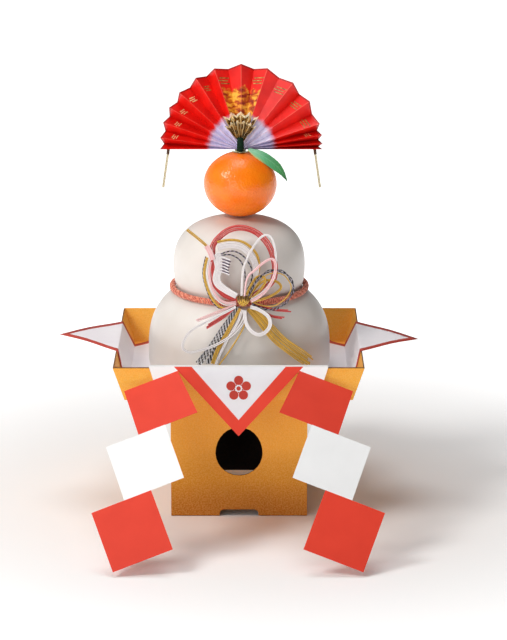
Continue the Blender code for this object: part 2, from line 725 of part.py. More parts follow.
def build_bundle(name, layer, width, taper, route, material, group):
    """Paper cords laid side by side: a tube along its route, pressed flat into its layer."""
    points = smooth_route(route)
    curve = bpy.data.curves.new(name, "CURVE")
    curve.dimensions = "3D"
    curve.bevel_depth = width * MM / 2
    curve.bevel_resolution = 1
    curve.use_fill_caps = True
    spline = curve.splines.new("POLY")
    spline.points.add(len(points) - 1)
    for i, (point, place) in enumerate(zip(spline.points, points)):
        point.co = (place.x * MM, 0, place.y * MM, 1)
        point.radius = taper + (1 - taper) * min(1, i / (TAPER_SHARE * len(points)))
    tube = bpy.data.objects.new(name, curve)
    group.objects.link(tube)
    item = curve_to_mesh_object(tube, group)
    for vert in item.data.vertices:
        vert.co.y = vert.co.y * CORD_DEPTH / (width * MM) + sheet_of_cords(vert.co.z, layer)
    item.data.materials.append(material)
    item.data.shade_smooth()
    return item


def build_knot(gold, group):
    """The gold binding that holds every cord, running back to the rope."""
    back = ROPE_PLACE.y - (ROPE_RING * ROPE_STRETCH + ROPE_RADIUS + GAP)
    front = sheet_of_cords(KNOT.z, OUTER_LAYER) - KNOT_PROUD
    bm = bmesh.new()
    bmesh.ops.create_cone(bm, cap_ends=True, segments=20, radius1=KNOT_RADIUS, radius2=KNOT_RADIUS,
                          depth=back - front)
    knot = mesh_object("mizuhiki_knot", bm, gold, group, smooth=True)
    knot.rotation_euler.x = math.radians(90)
    knot.location = (KNOT.x, (back + front) / 2, KNOT.z)
    edge = knot.modifiers.new("rounded", "BEVEL")
    edge.width = KNOT_ROUNDING
    edge.segments = 2
    return knot


def build_fan_cord(side, colour, group):
    """A short stiff cord that hangs from one end of the fan."""
    curve = bpy.data.curves.new("fan_cord", "CURVE")
    curve.dimensions = "3D"
    curve.bevel_depth = FAN_CORD_RADIUS
    curve.bevel_resolution = 2
    curve.use_fill_caps = True
    spline = curve.splines.new("POLY")
    spline.points.add(1)
    for point, (outward, height) in zip(spline.points, (FAN_CORD_TOP, FAN_CORD_FOOT)):
        point.co = (FAN_CORD_MIDDLE + side * outward, FAN_CORD_DEPTH, height, 1)
    name = "fan_cord_left" if side < 0 else "fan_cord_right"
    item = curve_to_mesh_object(bpy.data.objects.new(name, curve), group)
    item.data.materials.append(colour)
    return item


# ---------------------------------------------------------------- whole object
def centre_on_footprint(parts, cutters):
    """Hang all on one empty, moved so that the footprint's middle is the origin."""
    bpy.context.view_layer.update()
    graph = bpy.context.evaluated_depsgraph_get()
    corners = []
    for part in parts:
        shape = part.evaluated_get(graph)
        corners += [shape.matrix_world @ Vector(corner) for corner in shape.bound_box]
    middle = Vector()
    for axis in (0, 1):
        values = [corner[axis] for corner in corners]
        middle[axis] = (min(values) + max(values)) / 2
    holder = bpy.data.objects.new("kagami_mochi", None)
    parts[0].users_collection[0].objects.link(holder)
    for item in parts + list(cutters.objects):
        item.parent = holder
    holder.location = -middle


def main():
    clear_scene()
    group = new_collection("kagami_mochi_parts")
    cutters = new_collection("kagami_mochi_cutters")
    gold = finish("gold_board", (0.75, 0.33, 0.05), 0.35, 0.6)
    white = finish("white_paper", (0.87, 0.86, 0.86), 0.6)
    plastic = finish("white_plastic", (0.82, 0.80, 0.77), 0.25)
    rope_red = finish("coral_rope", (0.72, 0.13, 0.07), 0.7)
    peel = finish("orange_peel", (0.95, 0.19, 0.01), 0.4)
    leaf_green = finish("leaf_green", (0.06, 0.30, 0.12), 0.5)
    stem_green = finish("stem_tape", (0.004, 0.02, 0.008), 0.6)
    fan_red = finish("red_paper", (0.68, 0.02, 0.008), 0.5)
    foil = finish("gold_foil", (0.60, 0.33, 0.06), 0.25, 0.9)
    cords = {
        "red": finish("red_cord", (0.70, 0.03, 0.03), 0.4),
        "gold": finish("gold_cord", (0.62, 0.32, 0.04), 0.3, 0.8),
        "silver": finish("silver_cord", (0.28, 0.27, 0.27), 0.3, 0.7),
        "white": finish("white_cord", (0.80, 0.78, 0.80), 0.45),
        "pink": finish("pink_cord", (0.78, 0.45, 0.48), 0.45),
    }

    parts = [
        build_drum(gold, group, cutters),
        build_tray(gold, group),
        build_sheet(white, group),
        build_card(white, group),
        build_case(plastic, group),
        build_rope(rope_red, group),
        build_orange(peel, group),
        build_calyx(leaf_green, group),
        build_stem(stem_green, group),
        build_leaf(leaf_green, group),
        build_fan(fan_red, group),
        build_foil(foil, group),
        build_fan_cord(-1, cords["gold"], group),
        build_fan_cord(1, cords["gold"], group),
        build_knot(cords["gold"], group),
    ]
    for name, colour, layer, width, taper, route in BUNDLES:
        parts.append(build_bundle(name, layer, width, taper, route, cords[colour], group))
    centre_on_footprint(parts, cutters)


main()
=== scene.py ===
"""Looks of the kagami mochi: the plastic rice cake case, its New Year trimmings and its card stand.

Lengths are in metres.  Shapes are laid out round the stand's upright axis, front to -Y, and moved to
the frame's place for it when a piece is finished.
"""

import math

import bmesh
import bpy
from mathutils import Matrix, Vector, noise


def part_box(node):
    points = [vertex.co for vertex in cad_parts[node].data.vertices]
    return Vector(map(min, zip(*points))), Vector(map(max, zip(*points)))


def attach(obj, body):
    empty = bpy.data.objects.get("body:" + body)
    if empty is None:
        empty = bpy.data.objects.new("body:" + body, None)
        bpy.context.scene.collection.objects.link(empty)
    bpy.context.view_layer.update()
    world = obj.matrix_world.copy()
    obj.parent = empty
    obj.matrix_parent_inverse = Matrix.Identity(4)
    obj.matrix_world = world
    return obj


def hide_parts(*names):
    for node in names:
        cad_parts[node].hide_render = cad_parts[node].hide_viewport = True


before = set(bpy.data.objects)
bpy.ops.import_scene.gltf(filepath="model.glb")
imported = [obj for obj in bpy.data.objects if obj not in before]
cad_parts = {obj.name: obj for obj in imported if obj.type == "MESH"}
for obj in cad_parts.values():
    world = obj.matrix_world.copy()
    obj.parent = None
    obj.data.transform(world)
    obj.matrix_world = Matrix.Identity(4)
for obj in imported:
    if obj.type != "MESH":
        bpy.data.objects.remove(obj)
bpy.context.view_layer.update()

MM = 0.001
UP = Vector((0, 0, 1))
FRONT = Vector((0, -1, 0))
drum_low, drum_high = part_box("stand_drum")
AXIS = Vector(((drum_low.x + drum_high.x) / 2, (drum_low.y + drum_high.y) / 2, 0))

# ---------------------------------------------------------------- sizes shared by several pieces
GAP = 0.3 * MM
WELD = 0.01 * MM
BOARD = 1.2 * MM
PAPER = 0.4 * MM
TRAY_FOOT = 159 * MM
TRAY_RIM = 174.4 * MM
TRAY_UNDERSIDE = 94.3 * MM
RIM_HEIGHT = 119.3 * MM
WALL_RUN = (TRAY_RIM - TRAY_FOOT) / 2 / (RIM_HEIGHT - TRAY_UNDERSIDE)
WALL_LEAN = math.atan(WALL_RUN)
RIM_TOP = RIM_HEIGHT + BOARD * math.sin(WALL_LEAN)
SHEET_LEVEL = TRAY_UNDERSIDE + BOARD + GAP + PAPER / 2
CARD_LEVEL = SHEET_LEVEL + GAP + PAPER
CASE_FOOT = CARD_LEVEL + PAPER / 2 + GAP
SHEET_CLEARANCE = GAP + PAPER / 2
CARD_CLEARANCE = SHEET_CLEARANCE + GAP + PAPER
HANG_LEAN = math.radians(14)

ORANGE_PLACE = Vector((1.0, 0, 232.1)) * MM
ORANGE_RADIUS = 26.2 * MM
ORANGE_HALF_HEIGHT = 23.4 * MM
FAN_PIVOT = Vector((1.6, 1.0, 256.6)) * MM
FAN_LEAN = math.radians(10)


# ---------------------------------------------------------------- nodes and materials
def linear(code):
    """An sRGB hex colour as linear RGBA."""
    parts = [int(code[i:i + 2], 16) / 255 for i in (0, 2, 4)]
    return tuple(p / 12.92 if p <= 0.04045 else ((p + 0.055) / 1.055) ** 2.4 for p in parts) + (1,)


def add(tree, kind, settings=None, inputs=None):
    """A node with its settings; an input is a value, or a socket to link from."""
    node = tree.nodes.new(kind)
    for key, value in (settings or {}).items():
        setattr(node, key, value)
    for key, value in (inputs or {}).items():
        if isinstance(value, bpy.types.NodeSocket):
            tree.links.new(value, node.inputs[key])
        else:
            node.inputs[key].default_value = value
    return node


def material(name, colour, roughness, **more):
    """A Principled material; more holds further uniform values, such as Coat_Weight=0.3."""
    made = bpy.data.materials.new(name)
    made.use_nodes = True
    shader = made.node_tree.nodes["Principled BSDF"]
    shader.inputs["Base Color"].default_value = linear(colour)
    shader.inputs["Roughness"].default_value = roughness
    for key, value in more.items():
        shader.inputs[key.replace("_", " ")].default_value = value
    return made, made.node_tree, shader


def object_place(tree, centre=(0, 0, 0)):
    """Object coordinates measured from a centre given round the stand's axis."""
    coordinates = add(tree, "ShaderNodeTexCoord")
    shift = Vector(centre) + AXIS
    return add(tree, "ShaderNodeMapping", inputs={"Vector": coordinates.outputs["Object"],
                                                  "Location": -shift}).outputs["Vector"]


def speckle(tree, place, size, detail=2.0, distortion=0.0):
    """Noise whose blotches are about size across."""
    return add(tree, "ShaderNodeTexNoise", inputs={
        "Vector": place, "Scale": 1 / size, "Detail": detail, "Distortion": distortion}).outputs[0]


def ramp(tree, value, *stops):
    """A colour ramp; each stop is a position and an sRGB hex colour."""
    node = add(tree, "ShaderNodeValToRGB", inputs={"Fac": value})
    while len(node.color_ramp.elements) < len(stops):
        node.color_ramp.elements.new(1)
    for element, (position, colour) in zip(node.color_ramp.elements, stops):
        element.position = position
        element.color = linear(colour)
    return node.outputs["Color"]


def calc(tree, operation, *values, clamp=False):
    return add(tree, "ShaderNodeMath", {"operation": operation, "use_clamp": clamp},
               dict(enumerate(values))).outputs[0]


def band(tree, value, low, high, to_low=0.0, to_high=1.0):
    """A smooth step from to_low at low to to_high at high."""
    return add(tree, "ShaderNodeMapRange", {"interpolation_type": "SMOOTHSTEP"}, {
        "Value": value, "From Min": low, "From Max": high, "To Min": to_low,
        "To Max": to_high}).outputs[0]


def blend(tree, factor, first, second, kind="MIX"):
    """Two colours mixed; each is a socket or an sRGB hex code."""
    first, second = [linear(c) if isinstance(c, str) else c for c in (first, second)]
    node = add(tree, "ShaderNodeMix", {"data_type": "RGBA", "blend_type": kind},
               {"Factor": factor, 6: first, 7: second})
    return node.outputs[2]


def relief(tree, shader, height, depth, strength=1.0):
    """Bump of a real depth on the whole material."""
    bump = add(tree, "ShaderNodeBump", inputs={"Height": height, "Distance": depth,
                                               "Strength": strength})
    tree.links.new(bump.outputs["Normal"], shader.inputs["Normal"])


def colour_link(tree, shader, socket, name="Base Color"):
    tree.links.new(socket, shader.inputs[name])


def own(tree, name):
    """One of the piece's own attributes."""
    return add(tree, "ShaderNodeAttribute", {"attribute_name": name})


def gold_card():
    # Foil-laminated card, embossed with a fine leather grain.  Its soft, warm metallic sheen is painted
    # into the colour as lighter speckles on the grain, and painted shade deepens it to bronze towards
    # the table.
    made, tree, shader = material("foil_laminated_card", "ffb23c", 0.48, Metallic=0.08,
                                  Specular_IOR_Level=0.25)
    place = object_place(tree)
    height = add(tree, "ShaderNodeSeparateXYZ", inputs={"Vector": place}).outputs["Z"]
    grain = speckle(tree, place, 1.1 * MM, 3)
    fine = speckle(tree, place, 0.55 * MM, 2)
    # painted shade: darker towards the table, by height
    tone = ramp(tree, band(tree, height, 0, 118 * MM), (0.0, "b8690c"), (0.13, "dd9322"),
                (0.4, "fbb03c"), (1.0, "ffb544"))
    # painted sheen: lighter speckles on the grain
    mottled = blend(tree, band(tree, grain, 0.36, 0.66, 0.0, 0.24), tone, "ffd27c")
    colour_link(tree, shader, blend(tree, band(tree, fine, 0.6, 0.4, 0.0, 0.16), mottled, "bb7218"))
    relief(tree, shader, calc(tree, "ADD", grain, calc(tree, "MULTIPLY", fine, 0.6)), 0.22 * MM, 0.5)
    return made


def card_core():
    # Pulp board seen at its cut edges: matt, brown and fibrous.
    made, tree, shader = material("pulp_board_edge", "7a4a20", 0.85)
    fibres = speckle(tree, object_place(tree), 0.8 * MM, 4)
    colour_link(tree, shader, ramp(tree, fibres, (0.3, "5a3314"), (0.7, "8d5a2a")))
    return made


def drum_lining():
    # The unprinted inside of the drum: brown board, drawn nearly black as painted shade of the dark
    # inside.
    made, tree, shader = material("dark_board_lining", "1e0e05", 0.9)
    fibres = speckle(tree, object_place(tree), 1.5 * MM, 3)
    colour_link(tree, shader, ramp(tree, fibres, (0.3, "140903"), (0.7, "28140a")))
    return made


def paper_grain(tree, shader):
    relief(tree, shader, speckle(tree, object_place(tree), 0.6 * MM, 4), 0.03 * MM, 0.5)


def bordered_paper():
    # Smooth white ceremonial paper with a printed red border, drawn from the sheet's flat layout.
    made, tree, shader = material("ceremonial_paper", "fbf8fb", 0.6)
    layout = add(tree, "ShaderNodeSeparateXYZ", inputs={
        "Vector": add(tree, "ShaderNodeUVMap", {"uv_map": "layout"}).outputs["UV"]})
    sides = [calc(tree, "ABSOLUTE", calc(tree, "SUBTRACT", layout.outputs[axis], 0.5))
             for axis in ("X", "Y")]
    edge = calc(tree, "MAXIMUM", *sides)
    inner = 0.5 - BORDER_WIDTH / SHEET_SIDE
    border = band(tree, edge, inner - 0.0008, inner + 0.0008)
    tone = speckle(tree, object_place(tree), 30 * MM, 2)
    white = ramp(tree, tone, (0.3, "f6f1f6"), (0.7, "fdfafd"))
    red = ramp(tree, tone, (0.3, "b23a2c"), (0.7, "c8493a"))
    colour_link(tree, shader, blend(tree, border, white, red))
    paper_grain(tree, shader)
    return made


def card_ink(name, light, dark, roughness):
    # Coated card with one flat printed colour and a weak satin gloss.
    made, tree, shader = material(name, light, roughness, Specular_IOR_Level=0.25)
    tone = speckle(tree, object_place(tree), 18 * MM, 3)
    colour_link(tree, shader, ramp(tree, tone, (0.3, dark), (0.7, light)))
    paper_grain(tree, shader)
    return made


def case_plastic():
    # Thermoformed styrene filled with rice cake: creamy, satin-glossy, a little light goes into it.
    made, tree, shader = material("thermoformed_styrene", "e0dad4", 0.42, IOR=1.45,
                                  Subsurface_Weight=0.1, Coat_Weight=0.25, Coat_Roughness=0.3)
    shader.inputs["Subsurface Radius"].default_value = (4 * MM, 3 * MM, 2.4 * MM)
    shader.inputs["Subsurface Scale"].default_value = 1.0
    place = object_place(tree)
    cloud = speckle(tree, place, 26 * MM, 3)
    colour_link(tree, shader, ramp(tree, cloud, (0.3, "dcd5ce"), (0.7, "e3ddd7")))
    relief(tree, shader, speckle(tree, place, 14 * MM, 2), 0.4 * MM, 0.25)
    return made


def rope_fibre():
    # Twisted viscose yarn with deep hollows: the winding paints each strand's crowns lighter (painted
    # highlight) and its hollows darker (painted shade), with pale flecks at random.
    made, tree, shader = material("twisted_viscose_yarn", "e4705a", 0.62, Sheen_Weight=0.3)
    wind = winding(tree, 1.6 * MM, 3)
    paler_marks = speckle(tree, object_place(tree), 1.6 * MM, 3)
    # painted highlight on the winding's crowns, painted shade in its hollows
    fibre = blend(tree, band(tree, wind, -0.7, 0.7), "a83824", "f08462")
    # pale flecks at random
    colour_link(tree, shader, blend(tree, band(tree, paler_marks, 0.5, 0.7, 0, 0.7), fibre, "ffc2a0"))
    relief(tree, shader, wind, 0.12 * MM, 0.8)
    return made


def winding(tree, pitch, starts=1):
    """A sine that winds round a cord, from -1 to 1, each strand out of step with the others."""
    around = add(tree, "ShaderNodeSeparateXYZ", inputs={
        "Vector": own(tree, "around").outputs["Vector"]})
    angle = calc(tree, "ARCTAN2", around.outputs["Y"], around.outputs["X"])
    turns = calc(tree, "MULTIPLY", own(tree, "along").outputs["Fac"], 2 * math.pi / pitch)
    stepped = calc(tree, "MULTIPLY_ADD", own(tree, "strand").outputs["Fac"], 2.4, turns)
    return calc(tree, "SINE", calc(tree, "MULTIPLY_ADD", angle, starts, stepped))


def cord_finish(name, crown, hollow, pitch, roughness, share=0.3, uneven=0.3, **more):
    # A paper cord wound with foil or thread: the winding shows as a fine spiral in the hollow colour,
    # which is the thread's own colour on the black cords and painted shade in the grooves on the
    # others;
    # painted shade darkens the flanks that face the next cord.  share is how much of it is the darker
    # winding, and uneven is how far the strands differ in tone.
    made, tree, shader = material(name, crown, roughness, **more)
    wind = winding(tree, pitch)
    strand = own(tree, "strand").outputs["Fac"]
    own_tone = calc(tree, "FRACT", calc(tree, "MULTIPLY_ADD", strand, 0.618, 0.1))
    edge = 2 * share - 1
    # spiral in the hollow colour: painted shade in the grooves, except where the hollow is black thread
    spiral = blend(tree, band(tree, wind, edge - 0.4, edge + 0.4), hollow, crown)
    toned = blend(tree, calc(tree, "MULTIPLY", own_tone, uneven), spiral, hollow)
    normal = add(tree, "ShaderNodeNewGeometry").outputs["Normal"]
    facing = calc(tree, "ABSOLUTE", add(tree, "ShaderNodeSeparateXYZ", inputs={
        "Vector": normal}).outputs["Y"])
    # painted shade on the flanks that face the next cord
    flank = band(tree, facing, 0.25, 0.7, 0.75, 0.0)
    flank_shade = blend(tree, 1.0, hollow, "a09088", "MULTIPLY")
    colour_link(tree, shader, blend(tree, flank, toned, flank_shade))
    relief(tree, shader, wind, 0.08 * MM, 0.6)
    return made


def peel():
    # Moulded and sprayed mandarin peel: dense pores, a soft gloss that breaks into sparkles.
    made, tree, shader = material("mandarin_peel", "ff7e08", 0.25, Specular_IOR_Level=0.5,
                                  Subsurface_Weight=0.03)
    shader.inputs["Subsurface Radius"].default_value = (2.5 * MM, 1 * MM, 0.3 * MM)
    shader.inputs["Subsurface Scale"].default_value = 1.0
    place = object_place(tree, ORANGE_PLACE)
    pores = add(tree, "ShaderNodeTexVoronoi", {"feature": "SMOOTH_F1"}, {
        "Vector": place, "Scale": 1 / (1.35 * MM), "Smoothness": 0.6}).outputs["Distance"]
    tone = ramp(tree, speckle(tree, place, 14 * MM, 3), (0.3, "ff7400"), (0.7, "ff8408"))
    colour_link(tree, shader, blend(tree, band(tree, pores, 0.4, 0.1, 0, 0.3), tone, "ee5c04"))
    relief(tree, shader, pores, 0.28 * MM, 0.8)
    return made


def leaf_skin():
    # Stiffened leaf cloth: mint green turning deep at the tip, pale veins and a yellowed lower edge.
    made, tree, shader = material("stiffened_leaf_cloth", "5fb184", 0.48, Coat_Weight=0.15)
    where = own(tree, "leaf").outputs["Vector"]
    parts = add(tree, "ShaderNodeSeparateXYZ", inputs={"Vector": where})
    along, across = parts.outputs["X"], parts.outputs["Y"]
    side = calc(tree, "ABSOLUTE", across)
    slant = calc(tree, "SUBTRACT", calc(tree, "MULTIPLY", along, 11), calc(tree, "MULTIPLY", side, 1.6))
    vein = calc(tree, "POWER", calc(tree, "ABSOLUTE", calc(tree, "SINE",
                calc(tree, "MULTIPLY", slant, math.pi))), 0.35)
    rib = band(tree, side, 0.0, 0.09)
    skin = ramp(tree, along, (0.0, "8cc4a0"), (0.35, "5cae78"), (0.75, "3f9850"), (1.0, "1c5a26"))
    veined = blend(tree, calc(tree, "MULTIPLY", calc(tree, "SUBTRACT", 1, vein), 0.25), skin, "9fd0ac")
    ribbed = blend(tree, band(tree, rib, 0, 1, 0.5, 1), "a4d0a8", veined)
    yellow = calc(tree, "MULTIPLY", band(tree, across, -0.55, -0.95), band(tree, along, 0.5, 0.2))
    colour_link(tree, shader, blend(tree, yellow, ribbed, "c9b866"))
    relief(tree, shader, calc(tree, "MULTIPLY", vein, rib), 0.15 * MM, 0.6)
    return made


def plain_skin(name, light, dark, size, roughness, **more):
    # One colour with the small uneven tone and surface of the real thing.
    made, tree, shader = material(name, light, roughness, **more)
    tone = speckle(tree, object_place(tree), size, 3)
    colour_link(tree, shader, ramp(tree, tone, (0.3, dark), (0.7, light)))
    relief(tree, shader, tone, size * 0.08, 0.5)
    return made


def fan_paper():
    # Pleated dyed paper: airbrushed from lilac white at the pivot to bright red, a woven gold and
    # russet brocade print in the middle, a painted highlight along the ridges and a dark trimmed rim.
    made, tree, shader = material("pleated_dyed_paper", "e2160a", 0.42, Specular_IOR_Level=0.5)
    place = object_place(tree, FAN_PIVOT)
    reach = own(tree, "reach").outputs["Fac"]
    fold = own(tree, "fold").outputs["Fac"]
    cloud = speckle(tree, place, 4 * MM, 3)
    soft = calc(tree, "ADD", reach, calc(tree, "MULTIPLY", calc(tree, "SUBTRACT", cloud, 0.5), 5 * MM))
    red = ramp(tree, speckle(tree, place, 9 * MM, 2), (0.3, "d80c04"), (0.7, "ee1a0e"))
    white = ramp(tree, cloud, (0.35, "c9c0e0"), (0.7, "ded8ee"))
    dyed = blend(tree, band(tree, soft, 22.5 * MM, 27.5 * MM), white, red)
    parts = add(tree, "ShaderNodeSeparateXYZ", inputs={"Vector": place})
    across, above = parts.outputs["X"], parts.outputs["Z"]
    swing = calc(tree, "ABSOLUTE", calc(tree, "DEGREES", calc(tree, "ARCTAN2", across, above)))
    ragged = calc(tree, "MULTIPLY_ADD", cloud, 16 * MM, calc(tree, "SUBTRACT", reach, 8 * MM))
    patch = calc(tree, "MULTIPLY", band(tree, swing, 19, 17.5), band(tree, ragged, 46 * MM, 42 * MM))
    lying = add(tree, "ShaderNodeMapping", inputs={"Vector": place, "Scale": (0.6, 1, 1.3)})
    woven = speckle(tree, lying.outputs["Vector"], 4.0 * MM, 3, 0.5)
    brocade = ramp(tree, woven, (0.36, "8a1e04"), (0.47, "c04e0a"), (0.55, "e08c1e"), (0.64, "f6b43c"))
    printed = blend(tree, patch, dyed, brocade)
    # painted highlight along the ridges
    paler_marks = blend(tree, band(tree, fold, 0.93, 1.0, 0, 0.45), printed, "ff7460")
    cut_edge = band(tree, reach, 59.0 * MM, 59.6 * MM, 0, 0.6)
    colour_link(tree, shader, blend(tree, cut_edge, paler_marks, "7a1008"))
    paper_grain(tree, shader)
    return made


def creased_foil():
    # Bright gold foil, creased by hand: its facets are painted light and shade from bronze to nearly
    # white gold, with painted highlights on the ridges and along the edge.
    made, tree, shader = material("creased_gold_foil", "d2a050", 0.3, Metallic=0.45)
    place = object_place(tree, FAN_PIVOT)
    edge = own(tree, "edge").outputs["Fac"]
    crease = speckle(tree, place, 2.4 * MM, 2, 1.0)
    # painted light and shade of the creased facets
    metal = ramp(tree, crease, (0.38, "3a2006"), (0.5, "8a5a1e"), (0.62, "dcb060"))
    fold = own(tree, "fold").outputs["Fac"]
    # painted highlight on the ridges
    folded = blend(tree, band(tree, fold, 0.68, 1.0), metal, "f8e4b4")
    # painted highlight along the edge
    colour_link(tree, shader, blend(tree, band(tree, edge, 0.9, 0.93), folded, "fff4d8"))
    relief(tree, shader, crease, 0.5 * MM, 0.6)
    return made


# ---------------------------------------------------------------- making and finishing pieces
def new_mesh(name, bm, smooth=False, finishes=()):
    mesh = bpy.data.meshes.new(name)
    bm.to_mesh(mesh)
    bm.free()
    for finish in finishes:
        mesh.materials.append(finish)
    if smooth:
        mesh.shade_smooth()
    return mesh


def new_object(name, data):
    item = bpy.data.objects.new(name, data)
    bpy.context.scene.collection.objects.link(item)
    return item


def plain_mesh(item):
    """The object's mesh as its modifiers leave it; the object itself goes."""
    bpy.context.view_layer.update()
    graph = bpy.context.evaluated_depsgraph_get()
    mesh = bpy.data.meshes.new_from_object(item.evaluated_get(graph), preserve_all_data_layers=True,
                                           depsgraph=graph)
    bpy.data.objects.remove(item)
    return mesh


def solid_sheet(name, mesh, thickness, back_slots=0, even=True):
    """A thin sheet given its thickness; back_slots moves its back to later material slots."""
    item = new_object(name, mesh)
    wall = item.modifiers.new("thickness", "SOLIDIFY")
    wall.thickness = thickness
    wall.offset = 0
    wall.use_even_offset = even
    wall.material_offset = back_slots
    return plain_mesh(item)


def show(name, mesh, slot, nodes, *finishes):
    """The finished mesh as a piece of the object, standing for its CAD nodes."""
    mesh.transform(Matrix.Translation(AXIS))
    for finish in finishes:
        mesh.materials.append(finish)
    item = new_object(name, mesh)
    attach(item, "root")
    if nodes:
        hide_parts(*nodes)
    return item


def turned_mesh(name, profile, steps):
    """A profile of (radius, height), top to bottom down its outer side, turned about Z."""
    mesh = bpy.data.meshes.new(name)
    points = [(radius, 0, height) for radius, height in profile]
    mesh.from_pydata(points, [(i, i + 1) for i in range(len(points) - 1)], [])
    item = new_object(name, mesh)
    turn = item.modifiers.new("turn", "SCREW")
    turn.steps = steps
    turn.render_steps = steps
    turn.use_merge_vertices = True
    turn.merge_threshold = WELD
    turn.use_smooth_shade = True
    return plain_mesh(item)


# ---------------------------------------------------------------- stand
def board_piece(name, node, slot, finishes, finish_of):
    """A CAD board with eased edges; finish_of(face) picks each face's finish."""
    bm = bmesh.new()
    bm.from_mesh(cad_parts[node].data)
    bmesh.ops.remove_doubles(bm, verts=bm.verts, dist=WELD)
    bmesh.ops.translate(bm, verts=bm.verts, vec=-AXIS)
    bmesh.ops.dissolve_limit(bm, angle_limit=math.radians(0.5), verts=bm.verts, edges=bm.edges)
    for face in bm.faces:
        face.material_index = finish_of(face)
    item = new_object(name, new_mesh(name, bm, finishes=finishes))
    edge = item.modifiers.new("eased", "BEVEL")
    edge.width = 0.22 * MM
    edge.segments = 2
    edge.limit_method = "ANGLE"
    edge.angle_limit = math.radians(25)
    return show(name, plain_mesh(item), slot, (node,))


def build_stand(gold, core, lining):
    half = (drum_high.x - drum_low.x) / 2

    def drum_finish(face):
        middle = face.calc_center_median()
        reach = max(abs(middle.x), abs(middle.y))
        if abs(face.normal.z) > 0.5 or half - BOARD + WELD < reach < half - WELD:
            return 1
        # inner faces take the nearly black lining, painted shade of the drum's inside
        return 0 if reach > half - BOARD / 2 else 2

    def tray_finish(face):
        return 1 if face.calc_center_median().z > RIM_HEIGHT - BOARD / 2 and face.normal.z > 0.3 else 0

    board_piece("card_drum", "stand_drum", "gold_board", (gold, core, lining), drum_finish)
    board_piece("card_tray", "stand_tray", "gold_board", (gold, core), tray_finish)


# ---------------------------------------------------------------- papers
SHEET_SIDE = 208 * MM
BORDER_WIDTH = 5 * MM
WING_TILT = {"left": 1.5, "right": -3.0, "back": 0.0}
CARD_HALF_WIDTH = 62 * MM
CARD_BACK = 40 * MM
V_HALF_WIDTH = 44.7 * MM
V_DEPTH = 48 * MM
V_INNER_HALF = 32.5 * MM        # white middle of the V, at the rim
V_INNER_DEPTH = 36.8 * MM
ARM_SIDE = 43 * MM
ARM_TILT = math.radians(21)
ARM_SHIFT = 0.55
ARM_INNER = (38.9 * MM, 1.6 * MM)
ARM_SWING = (44, 30, 14)
RED, WHITE, INNER = 0, 1, 2     # front inks of the card


def inside_wall(height, clearance):
    outer = TRAY_FOOT / 2 + (height - TRAY_UNDERSIDE) * WALL_RUN
    return outer - (BOARD + clearance) / math.cos(WALL_LEAN)


def along_path(corners, distance):
    """The point at a distance along a path of corners, going on past its last one."""
    corners = [Vector(corner) for corner in corners]
    for start, stop in zip(corners, corners[1:]):
        step = stop - start
        if distance <= step.length or stop is corners[-1]:
            return start + step.normalized() * distance
        distance -= step.length


def eased_path(corners, distance, ease=0.6 * MM):
    """The same path with its corners eased, as paper folds."""
    near, here, far = [along_path(corners, distance + shift) for shift in (-ease, 0, ease)]
    return near * 0.25 + here * 0.5 + far * 0.25


def hang_point(across, down, clearance):
    """A point of the front that hangs from the rim, clearance outside the tray."""
    return Vector((across,
                   -(TRAY_RIM / 2 + clearance + PAPER) - down * math.sin(HANG_LEAN),
                   RIM_TOP + clearance - down * math.cos(HANG_LEAN)))


def wing_path(side):
    """Outward distance and height of the four-corner paper on one side of the tray."""
    rim = RIM_TOP + SHEET_CLEARANCE
    foot = inside_wall(SHEET_LEVEL, SHEET_CLEARANCE)
    top = inside_wall(rim, SHEET_CLEARANCE)
    path = [(0, SHEET_LEVEL), (foot, SHEET_LEVEL), (top, rim)]
    if side == "front":
        edge = hang_point(0, 0, SHEET_CLEARANCE)
        tip = hang_point(0, 1, SHEET_CLEARANCE)
        return path + [(-edge.y, edge.z), (-tip.y, tip.z)]
    tilt = math.radians(WING_TILT[side])
    return path + [(top + math.cos(tilt), rim + math.sin(tilt))]


def path_breaks(corners):
    total = 0
    breaks = []
    for start, stop in zip(corners[:-2], corners[1:-1]):
        total += (Vector(stop) - Vector(start)).length
        breaks.append(total)
    return breaks


